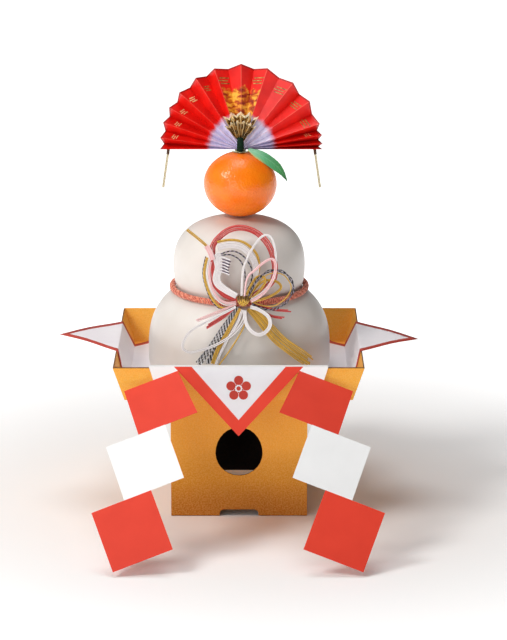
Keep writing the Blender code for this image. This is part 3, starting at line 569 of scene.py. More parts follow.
def build_four_corner_paper(paper):
    """A square of paper laid corner to the front, its corners carried up and over the rim."""
    reach = SHEET_SIDE / math.sqrt(2)
    sides = {"right": Vector((1, 0, 0)), "left": Vector((-1, 0, 0)),
             "back": Vector((0, 1, 0)), "front": Vector((0, -1, 0))}
    bm = bmesh.new()
    bmesh.ops.create_grid(bm, x_segments=1, y_segments=1, size=SHEET_SIDE / 2)
    bmesh.ops.rotate(bm, verts=bm.verts, matrix=Matrix.Rotation(math.radians(45), 3, "Z"))
    for side, outward in sides.items():
        cuts = [reach * i / 22 for i in range(22)]
        for fold in path_breaks(wing_path(side)):
            cuts += [fold + shift * 0.5 * MM for shift in (-1, -0.5, 0, 0.5, 1)]
        for distance in cuts:
            bmesh.ops.bisect_plane(bm, geom=bm.verts[:] + bm.edges[:] + bm.faces[:], dist=WELD,
                                   plane_co=outward * distance, plane_no=outward)
    layout = bm.loops.layers.uv.new("layout")
    turn = Matrix.Rotation(math.radians(-45), 3, "Z")
    for face in bm.faces:
        for loop in face.loops:
            flat = turn @ loop.vert.co
            loop[layout].uv = (0.5 + flat.x / SHEET_SIDE, 0.5 + flat.y / SHEET_SIDE)
    start = path_breaks(wing_path("back"))[0] - 0.6 * MM
    for vert in bm.verts:
        flat = vert.co.copy()
        vert.co.z = SHEET_LEVEL
        for side, outward in sides.items():
            distance = flat.dot(outward)
            if distance > start:
                out, height = eased_path(wing_path(side), distance)
                vert.co = flat + outward * (out - distance)
                vert.co.z = height
                free = distance - path_breaks(wing_path(side))[1] - 2 * MM
                if side != "front" and free > 0:
                    vert.co.z += 0.9 * MM * math.sin(math.pi * min(1, free / (45 * MM))) ** 2
    mesh = solid_sheet("paper", new_mesh("paper", bm, smooth=True), PAPER * 0.7)
    show("ceremonial_paper_square", mesh, "white_paper", ("four_corner_paper",), paper)


def card_path():
    edge = hang_point(0, 0, CARD_CLEARANCE)
    top = inside_wall(edge.z, CARD_CLEARANCE)
    foot = inside_wall(CARD_LEVEL, CARD_CLEARANCE)
    return [(-edge.y, edge.z), (top, edge.z), (foot, CARD_LEVEL), (-CARD_BACK, CARD_LEVEL)]


def card_point(across, down):
    """A point of the card: down is measured from the rim, and is negative inside the tray."""
    if down >= 0:
        return hang_point(across, down, CARD_CLEARANCE)
    reach, height = along_path(card_path(), -down)
    return Vector((across, -reach, height))


def arm_point(side, along, down):
    """A point of a zigzag arm, in panel widths from the outer end of its top fold."""
    rise, run = math.sin(ARM_TILT), math.cos(ARM_TILT)
    fold = Vector((run, rise * math.sin(HANG_LEAN), rise * math.cos(HANG_LEAN)))
    slope = Vector((rise, -run * math.sin(HANG_LEAN), -run * math.cos(HANG_LEAN)))
    forward = Vector((0, -math.cos(HANG_LEAN), math.sin(HANG_LEAN)))
    point = card_point(-ARM_INNER[0], ARM_INNER[1]) + fold * (along - 1) * ARM_SIDE
    for index, swing in enumerate(ARM_SWING):
        share = max(0, min(1, down - index))
        turn = math.radians(swing)
        point += (slope * math.cos(turn) + forward * math.sin(turn)) * share * ARM_SIDE
    return Vector((point.x * -side, point.y, point.z))


def arm_meets_v():
    """Where the top fold of an arm reaches the sloping edge of the V: across, down and along."""
    drop = math.tan(ARM_TILT)
    slope = V_HALF_WIDTH / V_DEPTH
    down = (ARM_INNER[1] + (V_HALF_WIDTH - ARM_INNER[0]) * drop) / (1 + slope * drop)
    across = V_HALF_WIDTH - slope * down
    return across, down, 1 - (across - ARM_INNER[0]) / math.cos(ARM_TILT) / ARM_SIDE


def build_gohei_card(inks):
    """The card under the case: its V at the front and two zigzag arms, each panel in its own ink."""
    bm = bmesh.new()

    def panel(points, ink):
        bm.faces.new([bm.verts.new(point) for point in points]).material_index = ink

    folds = [0] + path_breaks(card_path()) + [path_breaks(card_path() + [(0, 0)])[-1]]
    for near, far in zip(folds, folds[1:]):
        corners = [(-1, near), (1, near), (1, far), (-1, far)]
        panel([card_point(across * CARD_HALF_WIDTH, -inward) for across, inward in corners], WHITE)

    inner_half, inner_depth = V_INNER_HALF, V_INNER_DEPTH
    across, down, meeting = arm_meets_v()
    panel([card_point(inner_half, 0), card_point(-inner_half, 0), card_point(0, inner_depth)], INNER)
    for side in (-1, 1):
        band_points = [(V_HALF_WIDTH, 0), (inner_half, 0), (0, inner_depth), (0, V_DEPTH),
                       (across, down)]
        flank = [card_point(CARD_HALF_WIDTH * side, 0), card_point(V_HALF_WIDTH * side, 0),
                 card_point(across * side, down), arm_point(side, 0.5, 0)]
        panel([card_point(x * side, d) for x, d in band_points], RED)
        panel(flank, WHITE)
        for index in range(len(ARM_SWING)):
            shift = -index * ARM_SHIFT
            tops = [0, 0.5, meeting] if index == 0 else [shift, shift + ARM_SHIFT, shift + 1]
            bottoms = [shift, shift + 1 - ARM_SHIFT, shift + 1]
            columns = list(zip(tops, bottoms))
            for (a0, b0), (a1, b1) in zip(columns, columns[1:]):
                outline = [arm_point(side, a0, index), arm_point(side, a1, index),
                           arm_point(side, b1, index + 1), arm_point(side, b0, index + 1)]
                panel(outline, WHITE if index == 1 else RED)

    bmesh.ops.remove_doubles(bm, verts=bm.verts, dist=WELD)
    bmesh.ops.recalc_face_normals(bm, faces=bm.faces)
    front = min(bm.faces, key=lambda face: face.calc_center_median().y)
    if front.normal.y > 0:
        bmesh.ops.reverse_faces(bm, faces=bm.faces)
    red, white, inner = inks
    backs = (red, white, white)
    flat = new_mesh("card", bm, finishes=inks + backs)
    show("gohei_card_printed", solid_sheet("card", flat, PAPER * 0.9, back_slots=len(inks)),
         "white_paper", ("gohei_card",))


def build_crest(red):
    """A plum blossom of five petals, its middle and its stamens, as a thin print on the V."""
    petal_reach, petal_radius = 5.6 * MM, 3.2 * MM
    centre_down = 15 * MM
    ink = 0.05 * MM
    outward = Vector((0, -math.cos(HANG_LEAN), math.sin(HANG_LEAN)))
    downward = Vector((0, -math.sin(HANG_LEAN), -math.cos(HANG_LEAN)))
    middle = card_point(0, centre_down) + outward * (PAPER / 2 + ink)
    bm = bmesh.new()

    def disc(x, y, radius):
        turn = Matrix((Vector((1, 0, 0)), downward * -1, outward)).transposed().to_4x4()
        place = Matrix.Translation(middle + Vector((x, 0, 0)) - downward * y)
        bmesh.ops.create_cone(bm, cap_ends=True, segments=28, radius1=radius, radius2=radius,
                              depth=ink, matrix=place @ turn)

    for i in range(5):
        turn = math.radians(90 + 72 * i)
        disc(petal_reach * math.cos(turn), petal_reach * math.sin(turn), petal_radius)
        stamen = turn + math.radians(36)
        disc(2.9 * MM * math.cos(stamen), 2.9 * MM * math.sin(stamen), 0.5 * MM)
    disc(0, 0, 1.5 * MM)
    show("plum_crest", new_mesh("crest", bm), "white_paper", (), red)


# ---------------------------------------------------------------- rice cake case
def bulge(along, exponent=2.5):
    return (1 - along ** exponent) ** (1 / exponent)


def case_profile(steps=44):
    """Outline of the two tiers, from the middle of the top down to the middle of the foot."""
    lower_radius, lower_equator, lower_rise = 65.2 * MM, 113 * MM, 53 * MM
    upper_radius, upper_equator, upper_fall = 47.1 * MM, 173.5 * MM, 36 * MM
    top, waist = 208.4 * MM, 156.8 * MM
    foot_radius, foot_rise = 60 * MM, 8 * MM
    profile = []
    for i in range(steps + 1):
        along = math.cos(math.pi / 2 * i / steps)
        profile.append((upper_radius * bulge(along), upper_equator + (top - upper_equator) * along))
    for i in range(1, 17):
        height = upper_equator + (waist - upper_equator) * i / 16
        profile.append((upper_radius * bulge((upper_equator - height) / upper_fall), height))
    lower_start = (waist - lower_equator) / lower_rise
    for i in range(steps):
        along = lower_start * math.cos(math.pi / 2 * i / (steps - 1))
        profile.append((lower_radius * bulge(along), lower_equator + lower_rise * along))
    for i in range(13):
        turn = math.pi / 2 * i / 12
        radius = foot_radius + (lower_radius - foot_radius) * math.cos(turn)
        profile.append((radius, CASE_FOOT + foot_rise * (1 - math.sin(turn))))
    profile.append((0, CASE_FOOT))
    return profile


def build_case(plastic):
    show("mochi_case_moulded", turned_mesh("case", case_profile(), 144), "white_plastic",
         ("mochi_case",), plastic)


# ---------------------------------------------------------------- orange
def build_orange(skin):
    """A slightly flattened mandarin with lumps, pores and a dimple round its stalk."""
    bm = bmesh.new()
    bmesh.ops.create_uvsphere(bm, u_segments=300, v_segments=150, radius=1)
    for vert in bm.verts:
        unit = vert.co.normalized()
        place = Vector((unit.x * ORANGE_RADIUS, unit.y * ORANGE_RADIUS, unit.z * ORANGE_HALF_HEIGHT))
        lumps = noise.noise(place / (17 * MM)) * 0.35 * MM
        pore = noise.voronoi(place / (1.45 * MM))[0][0]
        pits = max(0, 0.5 - pore) * 0.16 * MM
        flat = math.hypot(place.x, place.y)
        dimple = 0.7 * MM * math.exp(-(flat / (5 * MM)) ** 2) if unit.z > 0 else 0
        vert.co = place + unit * (lumps - pits - 0.15 * MM) - UP * dimple + ORANGE_PLACE
    show("mandarin", new_mesh("mandarin", bm, smooth=True), "orange_peel", ("orange",), skin)


def build_calyx(skin):
    """A five-lobed star whose lobes curl up at their tips."""
    place = Vector((1.0, -1.5, 255.3)) * MM
    bm = bmesh.new()
    rings = []
    for ring in range(5):
        share = (ring + 1) / 5
        row = []
        for i in range(60):
            turn = 2 * math.pi * i / 60
            lobe = 0.5 + 0.5 * math.cos(5 * (turn + math.pi / 2))
            reach = (3.4 + 2.9 * lobe ** 2) * MM * share
            lift = 0.9 * MM * (share * lobe) ** 2 + 0.2 * MM * math.sin(5 * turn)
            out = Vector((reach * math.cos(turn), reach * math.sin(turn), lift))
            row.append(bm.verts.new(place + out))
        rings.append(row)
    centre = bm.verts.new(place)
    for i in range(60):
        after = (i + 1) % 60
        bm.faces.new((centre, rings[0][i], rings[0][after]))
        for inner, outer in zip(rings, rings[1:]):
            bm.faces.new((inner[i], outer[i], outer[after], inner[after]))
    mesh = solid_sheet("calyx", new_mesh("calyx", bm, smooth=True), 0.5 * MM, even=False)
    show("calyx_star", mesh, "leaf_green", ("orange_calyx",), skin)


def build_stem(tape):
    """The stem, wound with crinkled tape."""
    foot, height = Vector((1.0, -4.2, 256.45)) * MM, 9.4 * MM
    rows, steps = 60, 36
    bm = bmesh.new()
    grid = []
    for i in range(rows + 1):
        share = i / rows
        row = []
        for j in range(steps):
            turn = 2 * math.pi * j / steps
            lap = (share * 4.5 + j / steps) % 1
            radius = (2.45 - 0.25 * share + 0.22 * lap) * MM
            spot = Vector((math.cos(turn) * 3, math.sin(turn) * 3, share * 9))
            crinkle = noise.noise(spot) * 0.12 * MM
            out = Vector((math.cos(turn), math.sin(turn), 0)) * (radius + crinkle)
            row.append(bm.verts.new(foot + out + UP * height * share))
        grid.append(row)
    for low, high in zip(grid, grid[1:]):
        for j in range(steps):
            after = (j + 1) % steps
            bm.faces.new((low[j], low[after], high[after], high[j]))
    bm.faces.new(reversed(grid[0]))
    bm.faces.new(grid[-1])
    show("taped_stem", new_mesh("stem", bm, smooth=True), "stem_tape", ("orange_stem",), tape)


def build_leaf(skin):
    """One leaf: a creased rib, raised veins, a finely toothed edge."""
    rib = ((6.5, -3.5, 257.5, 1), (13, -6, 255, 3.5), (18, -7, 252.5, 4), (23, -6.5, 249, 4),
           (27.5, -6, 245, 3.5), (31, -5.5, 240.5, 2), (34, -5.5, 235, 0.15))
    facing = Vector((0.25, -0.75, 0.6)).normalized()
    steps, columns = 66, 16
    bm = bmesh.new()
    layer = bm.verts.layers.float_vector.new("leaf")
    rows = []
    for i in range(steps + 1):
        along = i / steps
        x, y, z, half = station(rib, along)
        half = max(0.1, half)
        ahead = Vector(station(rib, min(1, along + 0.02))) - Vector(station(rib, max(0, along - 0.02)))
        across = facing.cross(ahead.to_3d()).normalized()
        rise = ahead.to_3d().cross(across).normalized()
        tooth = 1 + 0.05 * abs((along * 15) % 1 - 0.5) * 2
        row = []
        for j in range(columns + 1):
            side = 2 * j / columns - 1
            vein = 0.10 * math.cos(2 * math.pi * (along * 11 - abs(side) * 1.6))
            lift = -half * 0.22 * abs(side) ** 1.2 + vein * min(1, abs(side) * 4) + 0.25 * side ** 2
            point = Vector((x, y, z)) + across * side * half * tooth + rise * lift
            vert = bm.verts.new(point * MM)
            vert[layer] = (along, side, 0)
            row.append(vert)
        rows.append(row)
    for low, high in zip(rows, rows[1:]):
        for j in range(columns):
            bm.faces.new((low[j], high[j], high[j + 1], low[j + 1]))
    mesh = solid_sheet("leaf", new_mesh("leaf", bm, smooth=True), 0.3 * MM, even=False)
    show("leaf_blade", mesh, "leaf_green", ("orange_leaf",), skin)


def station(stations, along):
    """Values between stations, on a smooth curve through them."""
    place = along * (len(stations) - 1)
    index = min(int(place), len(stations) - 2)
    t = place - index
    rows = [stations[max(0, min(len(stations) - 1, index + shift))] for shift in (-1, 0, 1, 2)]
    return [0.5 * (2 * b + (c - a) * t + (2 * a - 5 * b + 4 * c - d) * t * t
                   + (3 * b - a - 3 * c + d) * t ** 3) for a, b, c, d in zip(*rows)]


# ---------------------------------------------------------------- fan
FAN_RADIUS = 60.5 * MM
FAN_SIDE_DRAW = 0.045
FAN_PANEL = 10.8 * MM
FAN_VALLEY = 0.955
FAN_RIDGES = (0, 4, 10, 18, 35, 52, 72, 90, 108.5, 122.5, 137.5, 150, 161, 172, 180)
FAN_PAPER = 0.4 * MM
PLEAT_DEPTH = 1.3               # folds drawn a little deeper than flat panels would give


def pleat_rays(ridges, radius, panel):
    """Angle, relative length and depth of each ridge and valley in turn."""
    rays = []
    for first, second in zip(ridges, ridges[1:]):
        half = math.radians(second - first) / 2
        depth = math.sqrt(max(panel ** 2 - (radius * math.sin(half)) ** 2, (0.1 * panel) ** 2))
        rays.append((math.radians(first), 1, 0))
        rays.append((math.radians(first) + half, FAN_VALLEY, depth * PLEAT_DEPTH))
    return rays + [(math.radians(ridges[-1]), 1, 0)]


def pleat_point(ray, share, radius, draw):
    """A point of a ray at a share of its length."""
    angle, part, depth = ray
    reach = radius * part * (1 - draw * (1 - math.sin(angle))) * share
    return Vector((reach * math.cos(angle), depth * share, reach * math.sin(angle)))


def lean_back(mesh, pivot, lean):
    mesh.transform(Matrix.Translation(pivot) @ Matrix.Rotation(-lean, 4, "X"))
    return mesh


def pleated_sheet(ridges, radius, panel, start, draw, skin, steps, across=4, tip=0.0):
    """A pleated half round with each point's reach, nearness to a ridge and nearness to the rim.

    tip is how much farther the ridges stand out than the valleys, as points."""
    rays = pleat_rays(ridges, radius, panel)
    bm = bmesh.new()
    layers = [bm.verts.layers.float.new(name) for name in ("reach", "fold", "edge")]
    columns = []
    for index in range((len(rays) - 1) * across + 1):
        ray, part = divmod(index, across)
        mix = part / across
        after = rays[min(ray + 1, len(rays) - 1)]
        ridge = 1 - mix if ray % 2 == 0 else mix
        column = []
        for step in range(steps + 1):
            share = start / radius + (1 - start / radius) * step / steps
            point = pleat_point(rays[ray], share, radius, draw).lerp(
                pleat_point(after, share, radius, draw), mix)
            vert = bm.verts.new(point)
            vert.co -= point.normalized() * tip * (1 - ridge) * share
            for layer, value in zip(layers, (radius * share, ridge, share)):
                vert[layer] = value
            column.append(vert)
        columns.append(column)
    for first, second in zip(columns, columns[1:]):
        for i in range(steps):
            bm.faces.new((first[i], first[i + 1], second[i + 1], second[i]))
    back = bmesh.ops.extrude_face_region(bm, geom=bm.faces[:])["geom"]
    moved = [item for item in back if isinstance(item, bmesh.types.BMVert)]
    bmesh.ops.translate(bm, verts=moved, vec=(0, skin, 0))
    bmesh.ops.recalc_face_normals(bm, faces=bm.faces)
    return bm


def build_fan(paper):
    bm = pleated_sheet(FAN_RIDGES, FAN_RADIUS, FAN_PANEL, 1.5 * MM, FAN_SIDE_DRAW, FAN_PAPER, 40)
    mesh = lean_back(new_mesh("fan", bm), FAN_PIVOT, FAN_LEAN)
    show("pleated_fan", mesh, "red_paper", ("fan",), paper)


def build_fan_prints(cream, bronze):
    """Clusters of short dashes, printed across each pleat before it was folded."""
    rays = pleat_rays(FAN_RIDGES, FAN_RADIUS, FAN_PANEL)
    ink = 0.05 * MM
    for name, finish, pleats in (("fan_cream_dashes", cream, (2, 9, 10, 11, 12)),
                                 ("fan_bronze_dashes", bronze, (3, 4, 5, 6, 7, 8))):
        bm = bmesh.new()
        for pleat in pleats:
            ridge, valley, after = rays[2 * pleat:2 * pleat + 3]
            wide = FAN_RIDGES[pleat + 1] - FAN_RIDGES[pleat] > 16
            first, last = (0.06, 0.84) if wide else (0.22, 0.78)
            for row in range(3):
                share = 0.81 + (0.034 if wide else 0.026) * row
                stagger = 0.12 * (row % 2)
                near, far = (valley, after) if pleat >= 7 else (ridge, valley)
                dash(bm, near, far, first + stagger, last + stagger, share, ink)
        bmesh.ops.recalc_face_normals(bm, faces=bm.faces)
        mesh = lean_back(new_mesh(name, bm), FAN_PIVOT, FAN_LEAN)
        show(name, mesh, "gold_foil", (), finish)


def dash(bm, near, far, first, last, share, ink):
    """One dash across a panel, from one share of its width to another, with the ink's thickness."""
    width = 0.75 * MM / FAN_RADIUS
    corners = []
    for part, level in ((first, share), (last, share), (last, share + width), (first, share + width)):
        start, stop = [pleat_point(ray, level, FAN_RADIUS, FAN_SIDE_DRAW) for ray in (near, far)]
        corners.append(start.lerp(stop, part))
    normal = (corners[1] - corners[0]).cross(corners[3] - corners[0]).normalized()
    if normal.y > 0:
        normal.negate()
    low = [bm.verts.new(c + normal * ink * 0.4) for c in corners]
    high = [bm.verts.new(c + normal * ink * 1.8) for c in corners]
    bm.faces.new(low)
    bm.faces.new(high)
    for i in range(4):
        j = (i + 1) % 4
        bm.faces.new((low[i], low[j], high[j], high[i]))


def build_foil(gold):
    """The foil crown: a taller and a lower row of folded points in front of the fan."""
    rows = (("crown_tall", (57, 73, 90, 107, 123), 23.5 * MM, -1.4 * MM, 6, ("fan_foil",)),
            ("crown_low", (50, 66, 82, 98, 114, 130), 17.5 * MM, -3.0 * MM, 3, ()))
    for name, ridges, radius, forward, lean, nodes in rows:
        bm = pleated_sheet(ridges, radius, 5.2 * MM, 4.5 * MM, 0, 0.25 * MM, 14, tip=2.6 * MM)
        for vert in bm.verts:
            vert.co += noise.noise_vector(vert.co / (4 * MM)) * 0.6 * MM
        pivot = FAN_PIVOT + Vector((-0.4 * MM, forward, 4.0 * MM))
        mesh = lean_back(new_mesh(name, bm), pivot, math.radians(lean))
        show(name, mesh, "gold_foil", nodes, gold)


# ---------------------------------------------------------------- cords
def cord_tree():
    """Cords that follow a path side by side, fanning out from its start, or twisted together."""
    tree = bpy.data.node_groups.new("cords_along_a_path", "GeometryNodeTree")
    interface = (("Path", "NodeSocketGeometry", None), ("Strands", "NodeSocketInt", 1),
                 ("Gap", "NodeSocketFloat", 0.001), ("Start Share", "NodeSocketFloat", 1.0),
                 ("Lay", "NodeSocketFloat", 0.0), ("Pitch", "NodeSocketFloat", 0.01),
                 ("Radius", "NodeSocketFloat", 0.0005), ("Wobble", "NodeSocketFloat", 0.0),
                 ("Ragged", "NodeSocketFloat", 0.0), ("Seed", "NodeSocketInt", 0),
                 ("Sides", "NodeSocketInt", 10), ("Step", "NodeSocketFloat", 0.0012),
                 ("Facing", "NodeSocketVector", None), ("Finish", "NodeSocketMaterial", None))
    for name, kind, value in interface:
        socket = tree.interface.new_socket(name, in_out="INPUT", socket_type=kind)
        if value is not None:
            socket.default_value = value
    tree.interface.new_socket("Cords", in_out="OUTPUT", socket_type="NodeSocketGeometry")
    given = add(tree, "NodeGroupInput").outputs

    smooth = add(tree, "GeometryNodeCurveSplineType", {"spline_type": "CATMULL_ROM"},
                 {"Curve": given["Path"]})
    finer = add(tree, "GeometryNodeResampleCurve", {"mode": "LENGTH"},
                {"Curve": smooth.outputs[0], "Length": given["Step"]})
    copies = add(tree, "GeometryNodeDuplicateElements", {"domain": "SPLINE"},
                 {"Geometry": finer.outputs[0], "Amount": given["Strands"]})
    number = copies.outputs["Duplicate Index"]
    spline = add(tree, "GeometryNodeSplineParameter").outputs

    spread = add(tree, "ShaderNodeMapRange", {"interpolation_type": "SMOOTHSTEP"}, {
        "Value": spline["Factor"], "From Min": 0.0, "From Max": 0.45,
        "To Min": given["Start Share"], "To Max": 1.0}).outputs[0]
    middle = calc(tree, "MULTIPLY", calc(tree, "SUBTRACT", given["Strands"], 1), 0.5)
    rank = calc(tree, "SUBTRACT", number, middle)
    turns = calc(tree, "ADD", calc(tree, "DIVIDE", spline["Length"], given["Pitch"]),
                 calc(tree, "DIVIDE", number, given["Strands"]))
    turn = calc(tree, "MULTIPLY", turns, 2 * math.pi)
    sideways = calc(tree, "MULTIPLY", spread, calc(
        tree, "ADD", calc(tree, "MULTIPLY", rank, given["Gap"]),
        calc(tree, "MULTIPLY", given["Lay"], calc(tree, "COSINE", turn))))
    forward = calc(tree, "MULTIPLY", given["Lay"], calc(tree, "SINE", turn))

    tangent = add(tree, "GeometryNodeInputTangent").outputs[0]
    cross = add(tree, "ShaderNodeVectorMath", {"operation": "CROSS_PRODUCT"},
                {0: tangent, 1: given["Facing"]}).outputs[0]
    side = add(tree, "ShaderNodeVectorMath", {"operation": "NORMALIZE"}, {0: cross}).outputs[0]
    ahead = add(tree, "ShaderNodeVectorMath", {"operation": "CROSS_PRODUCT"},
                {0: side, 1: tangent}).outputs[0]
    shifts = [add(tree, "ShaderNodeVectorMath", {"operation": "SCALE"},
                  {0: way, "Scale": much}).outputs[0]
              for way, much in ((side, sideways), (ahead, forward))]
    there = add(tree, "GeometryNodeInputPosition").outputs[0]
    drift = add(tree, "ShaderNodeVectorMath", {"operation": "SCALE"}, {
        0: add(tree, "ShaderNodeCombineXYZ", inputs={
            "X": number, "Y": calc(tree, "MULTIPLY", number, 1.7), "Z": given["Seed"]}).outputs[0],
        "Scale": 3.1}).outputs[0]
    cloudy = add(tree, "ShaderNodeVectorMath", {"operation": "MULTIPLY_ADD"},
                 {0: there, 1: (70, 70, 70), 2: drift}).outputs[0]
    noisy = add(tree, "ShaderNodeTexNoise", {"noise_dimensions": "3D"},
                {"Vector": cloudy, "Scale": 1.0, "Detail": 1.0}).outputs["Color"]
    centred = add(tree, "ShaderNodeVectorMath", {"operation": "SUBTRACT"},
                  {0: noisy, 1: (0.5, 0.5, 0.5)}).outputs[0]
    shifts.append(add(tree, "ShaderNodeVectorMath", {"operation": "SCALE"}, {
        0: centred, "Scale": calc(tree, "MULTIPLY", given["Wobble"], spread)}).outputs[0])
    both = add(tree, "ShaderNodeVectorMath", {"operation": "ADD"},
               {0: shifts[0], 1: shifts[1]}).outputs[0]
    whole = add(tree, "ShaderNodeVectorMath", {"operation": "ADD"},
                {0: both, 1: shifts[2]}).outputs[0]
    laid = add(tree, "GeometryNodeSetPosition", inputs={"Geometry": copies.outputs["Geometry"],
                                                        "Offset": whole})
    short = add(tree, "FunctionNodeRandomValue", {"data_type": "FLOAT"}, {
        2: 0.0, 3: given["Ragged"], "ID": number, "Seed": given["Seed"]}).outputs[1]
    trimmed = add(tree, "GeometryNodeTrimCurve", {"mode": "FACTOR"}, {
        "Curve": laid.outputs[0], "Start": 0.0, "End": calc(tree, "SUBTRACT", 1, short)})

    named = trimmed.outputs[0]
    for name, value in (("along", spline["Length"]), ("strand", number)):
        named = add(tree, "GeometryNodeStoreNamedAttribute", {"data_type": "FLOAT", "domain": "POINT"},
                    {"Geometry": named, "Name": name, "Value": value}).outputs[0]
    circle = add(tree, "GeometryNodeCurvePrimitiveCircle", {"mode": "RADIUS"},
                 {"Resolution": given["Sides"], "Radius": given["Radius"]})
    section = add(tree, "GeometryNodeStoreNamedAttribute",
                  {"data_type": "FLOAT_VECTOR", "domain": "POINT"},
                  {"Geometry": circle.outputs[0], "Name": "around", "Value": there})
    tube = add(tree, "GeometryNodeCurveToMesh", inputs={
        "Curve": named, "Profile Curve": section.outputs[0], "Fill Caps": True})
    real = add(tree, "GeometryNodeRealizeInstances", inputs={"Geometry": tube.outputs[0]})
    rounded = add(tree, "GeometryNodeSetShadeSmooth", inputs={"Geometry": real.outputs[0]})
    finished = add(tree, "GeometryNodeSetMaterial", inputs={"Geometry": rounded.outputs[0],
                                                            "Material": given["Finish"]})
    result = add(tree, "NodeGroupOutput")
    tree.links.new(finished.outputs[0], result.inputs["Cords"])
    return tree


def run_cords(name, points, slot, nodes, finish, closed=False, **sizes):
    """Cords along a path of points, made by the cord tree; sizes are its inputs."""
    curve = bpy.data.curves.new(name, "CURVE")
    curve.dimensions = "3D"
    spline = curve.splines.new("POLY")
    spline.points.add(len(points) - 1)
    for point, place in zip(spline.points, points):
        point.co = (*place, 1)
    spline.use_cyclic_u = closed
    item = new_object(name + "_path", curve)
    maker = item.modifiers.new("cords", "NODES")
    maker.node_group = CORDS
    values = {"Facing": tuple(FRONT), "Finish": finish, **sizes}
    for socket in CORDS.interface.items_tree:
        if socket.in_out == "INPUT" and socket.name.replace(" ", "_") in values:
            maker[socket.identifier] = values[socket.name.replace(" ", "_")]
    return show(name, plain_mesh(item), slot, nodes)


LAYER = 1.7 * MM
ORNAMENT_LEVEL = 205            # height in mm at which layer 0 stands ORNAMENT_REACH before the axis
ORNAMENT_REACH = 50 * MM
ORNAMENT_SLOPE = 0.2            # how far it comes forward for each millimetre lower


def lay(route, layer, rise=0.0):
    """A route of (across, up) in millimetres, on its layer of the plane that the ornament lies in."""
    points = []
    for i, (across, up) in enumerate(route):
        depth = -(ORNAMENT_REACH + (ORNAMENT_LEVEL - up) * MM * ORNAMENT_SLOPE) - layer * LAYER
        arch = rise * MM * math.sin(math.pi * i / (len(route) - 1))
        points.append((across * MM, depth - arch, up * MM))
    return points


def build_rope(finish):
    """A four-strand rope laid round the waist, dipping a little to the front."""
    ring, stretch, sag = 47.8 * MM, 1.027, math.radians(1.8)
    points, steps = [], 60
    for i in range(steps):
        turn = 2 * math.pi * i / steps
        y = ring * stretch * math.sin(turn)
        points.append((ring * math.cos(turn), -0.6 * MM + y * math.cos(sag),
                       157.8 * MM + y * math.sin(sag)))
    length = 2 * math.pi * ring * (1 + stretch) / 2
    run_cords("waist_rope_twisted", points, "coral_rope", ("waist_rope",), finish, closed=True,
              Strands=4, Gap=0.0, Lay=1.25 * MM, Pitch=length / 46, Radius=1.02 * MM, Sides=12,
              Step=0.8 * MM, Facing=tuple(UP))


def build_fan_cords(finish, tie_finish):
    """A pair of stiff cords that hangs from each end of the fan, with a dark tie at the top."""
    middle, behind = 1.8, 3
    for side, name in ((-1, "left"), (1, "right")):
        top = Vector((middle + side * 52, behind, 255.6)) * MM
        foot = Vector((middle + side * 56, behind, 228)) * MM
        points = [top, top.lerp(foot, 0.35), top.lerp(foot, 0.7), foot]
        run_cords("fan_cords_" + name, points, "gold_cord", ("fan_cord_" + name,), finish,
                  Strands=2, Gap=0.85 * MM, Radius=0.42 * MM, Ragged=0.03)
        tie = [top + Vector((0, 0, 0.8 * MM)), top.lerp(foot, 0.1)]
        run_cords("fan_tie_" + name, tie, "gold_cord", (), tie_finish, Strands=1, Radius=1.1 * MM)


def build_knot(gold):
    """The binding: a core back to the rope, wrapped over its front with cord."""
    centre = Vector((3.3, 0, 161)) * MM
    back, front = -52.2 * MM, -68.9 * MM
    middle, half = (back + front) / 2, (back - front) / 2
    run_cords("knot_core", [(centre.x, back, centre.z), (centre.x, front + 1.6 * MM, centre.z)],
              "gold_cord", ("mizuhiki_knot",), gold, Strands=1, Radius=2.4 * MM, Sides=24,
              Facing=tuple(UP))
    wraps, steps = 6, 28
    for index in range(wraps):
        tilt = math.radians(-35 + 15 * index)
        aside = index - (wraps - 1) / 2
        shift = aside * 1.05 * MM
        points = []
        for i in range(steps):
            turn = 2 * math.pi * i / steps
            up = 3.1 * MM * math.cos(turn) * (1 - 0.04 * abs(aside) ** 1.5)
            reach = half - 0.35 * MM * (index % 3)
            points.append((centre.x + shift + up * math.sin(tilt), middle + reach * math.sin(turn),
                           centre.z + up * math.cos(tilt)))
        run_cords("knot_wrap_%d" % index, points, "gold_cord", (), gold, closed=True, Strands=1,
                  Radius=0.55 * MM, Facing=(1, 0, 0), Step=0.7 * MM)


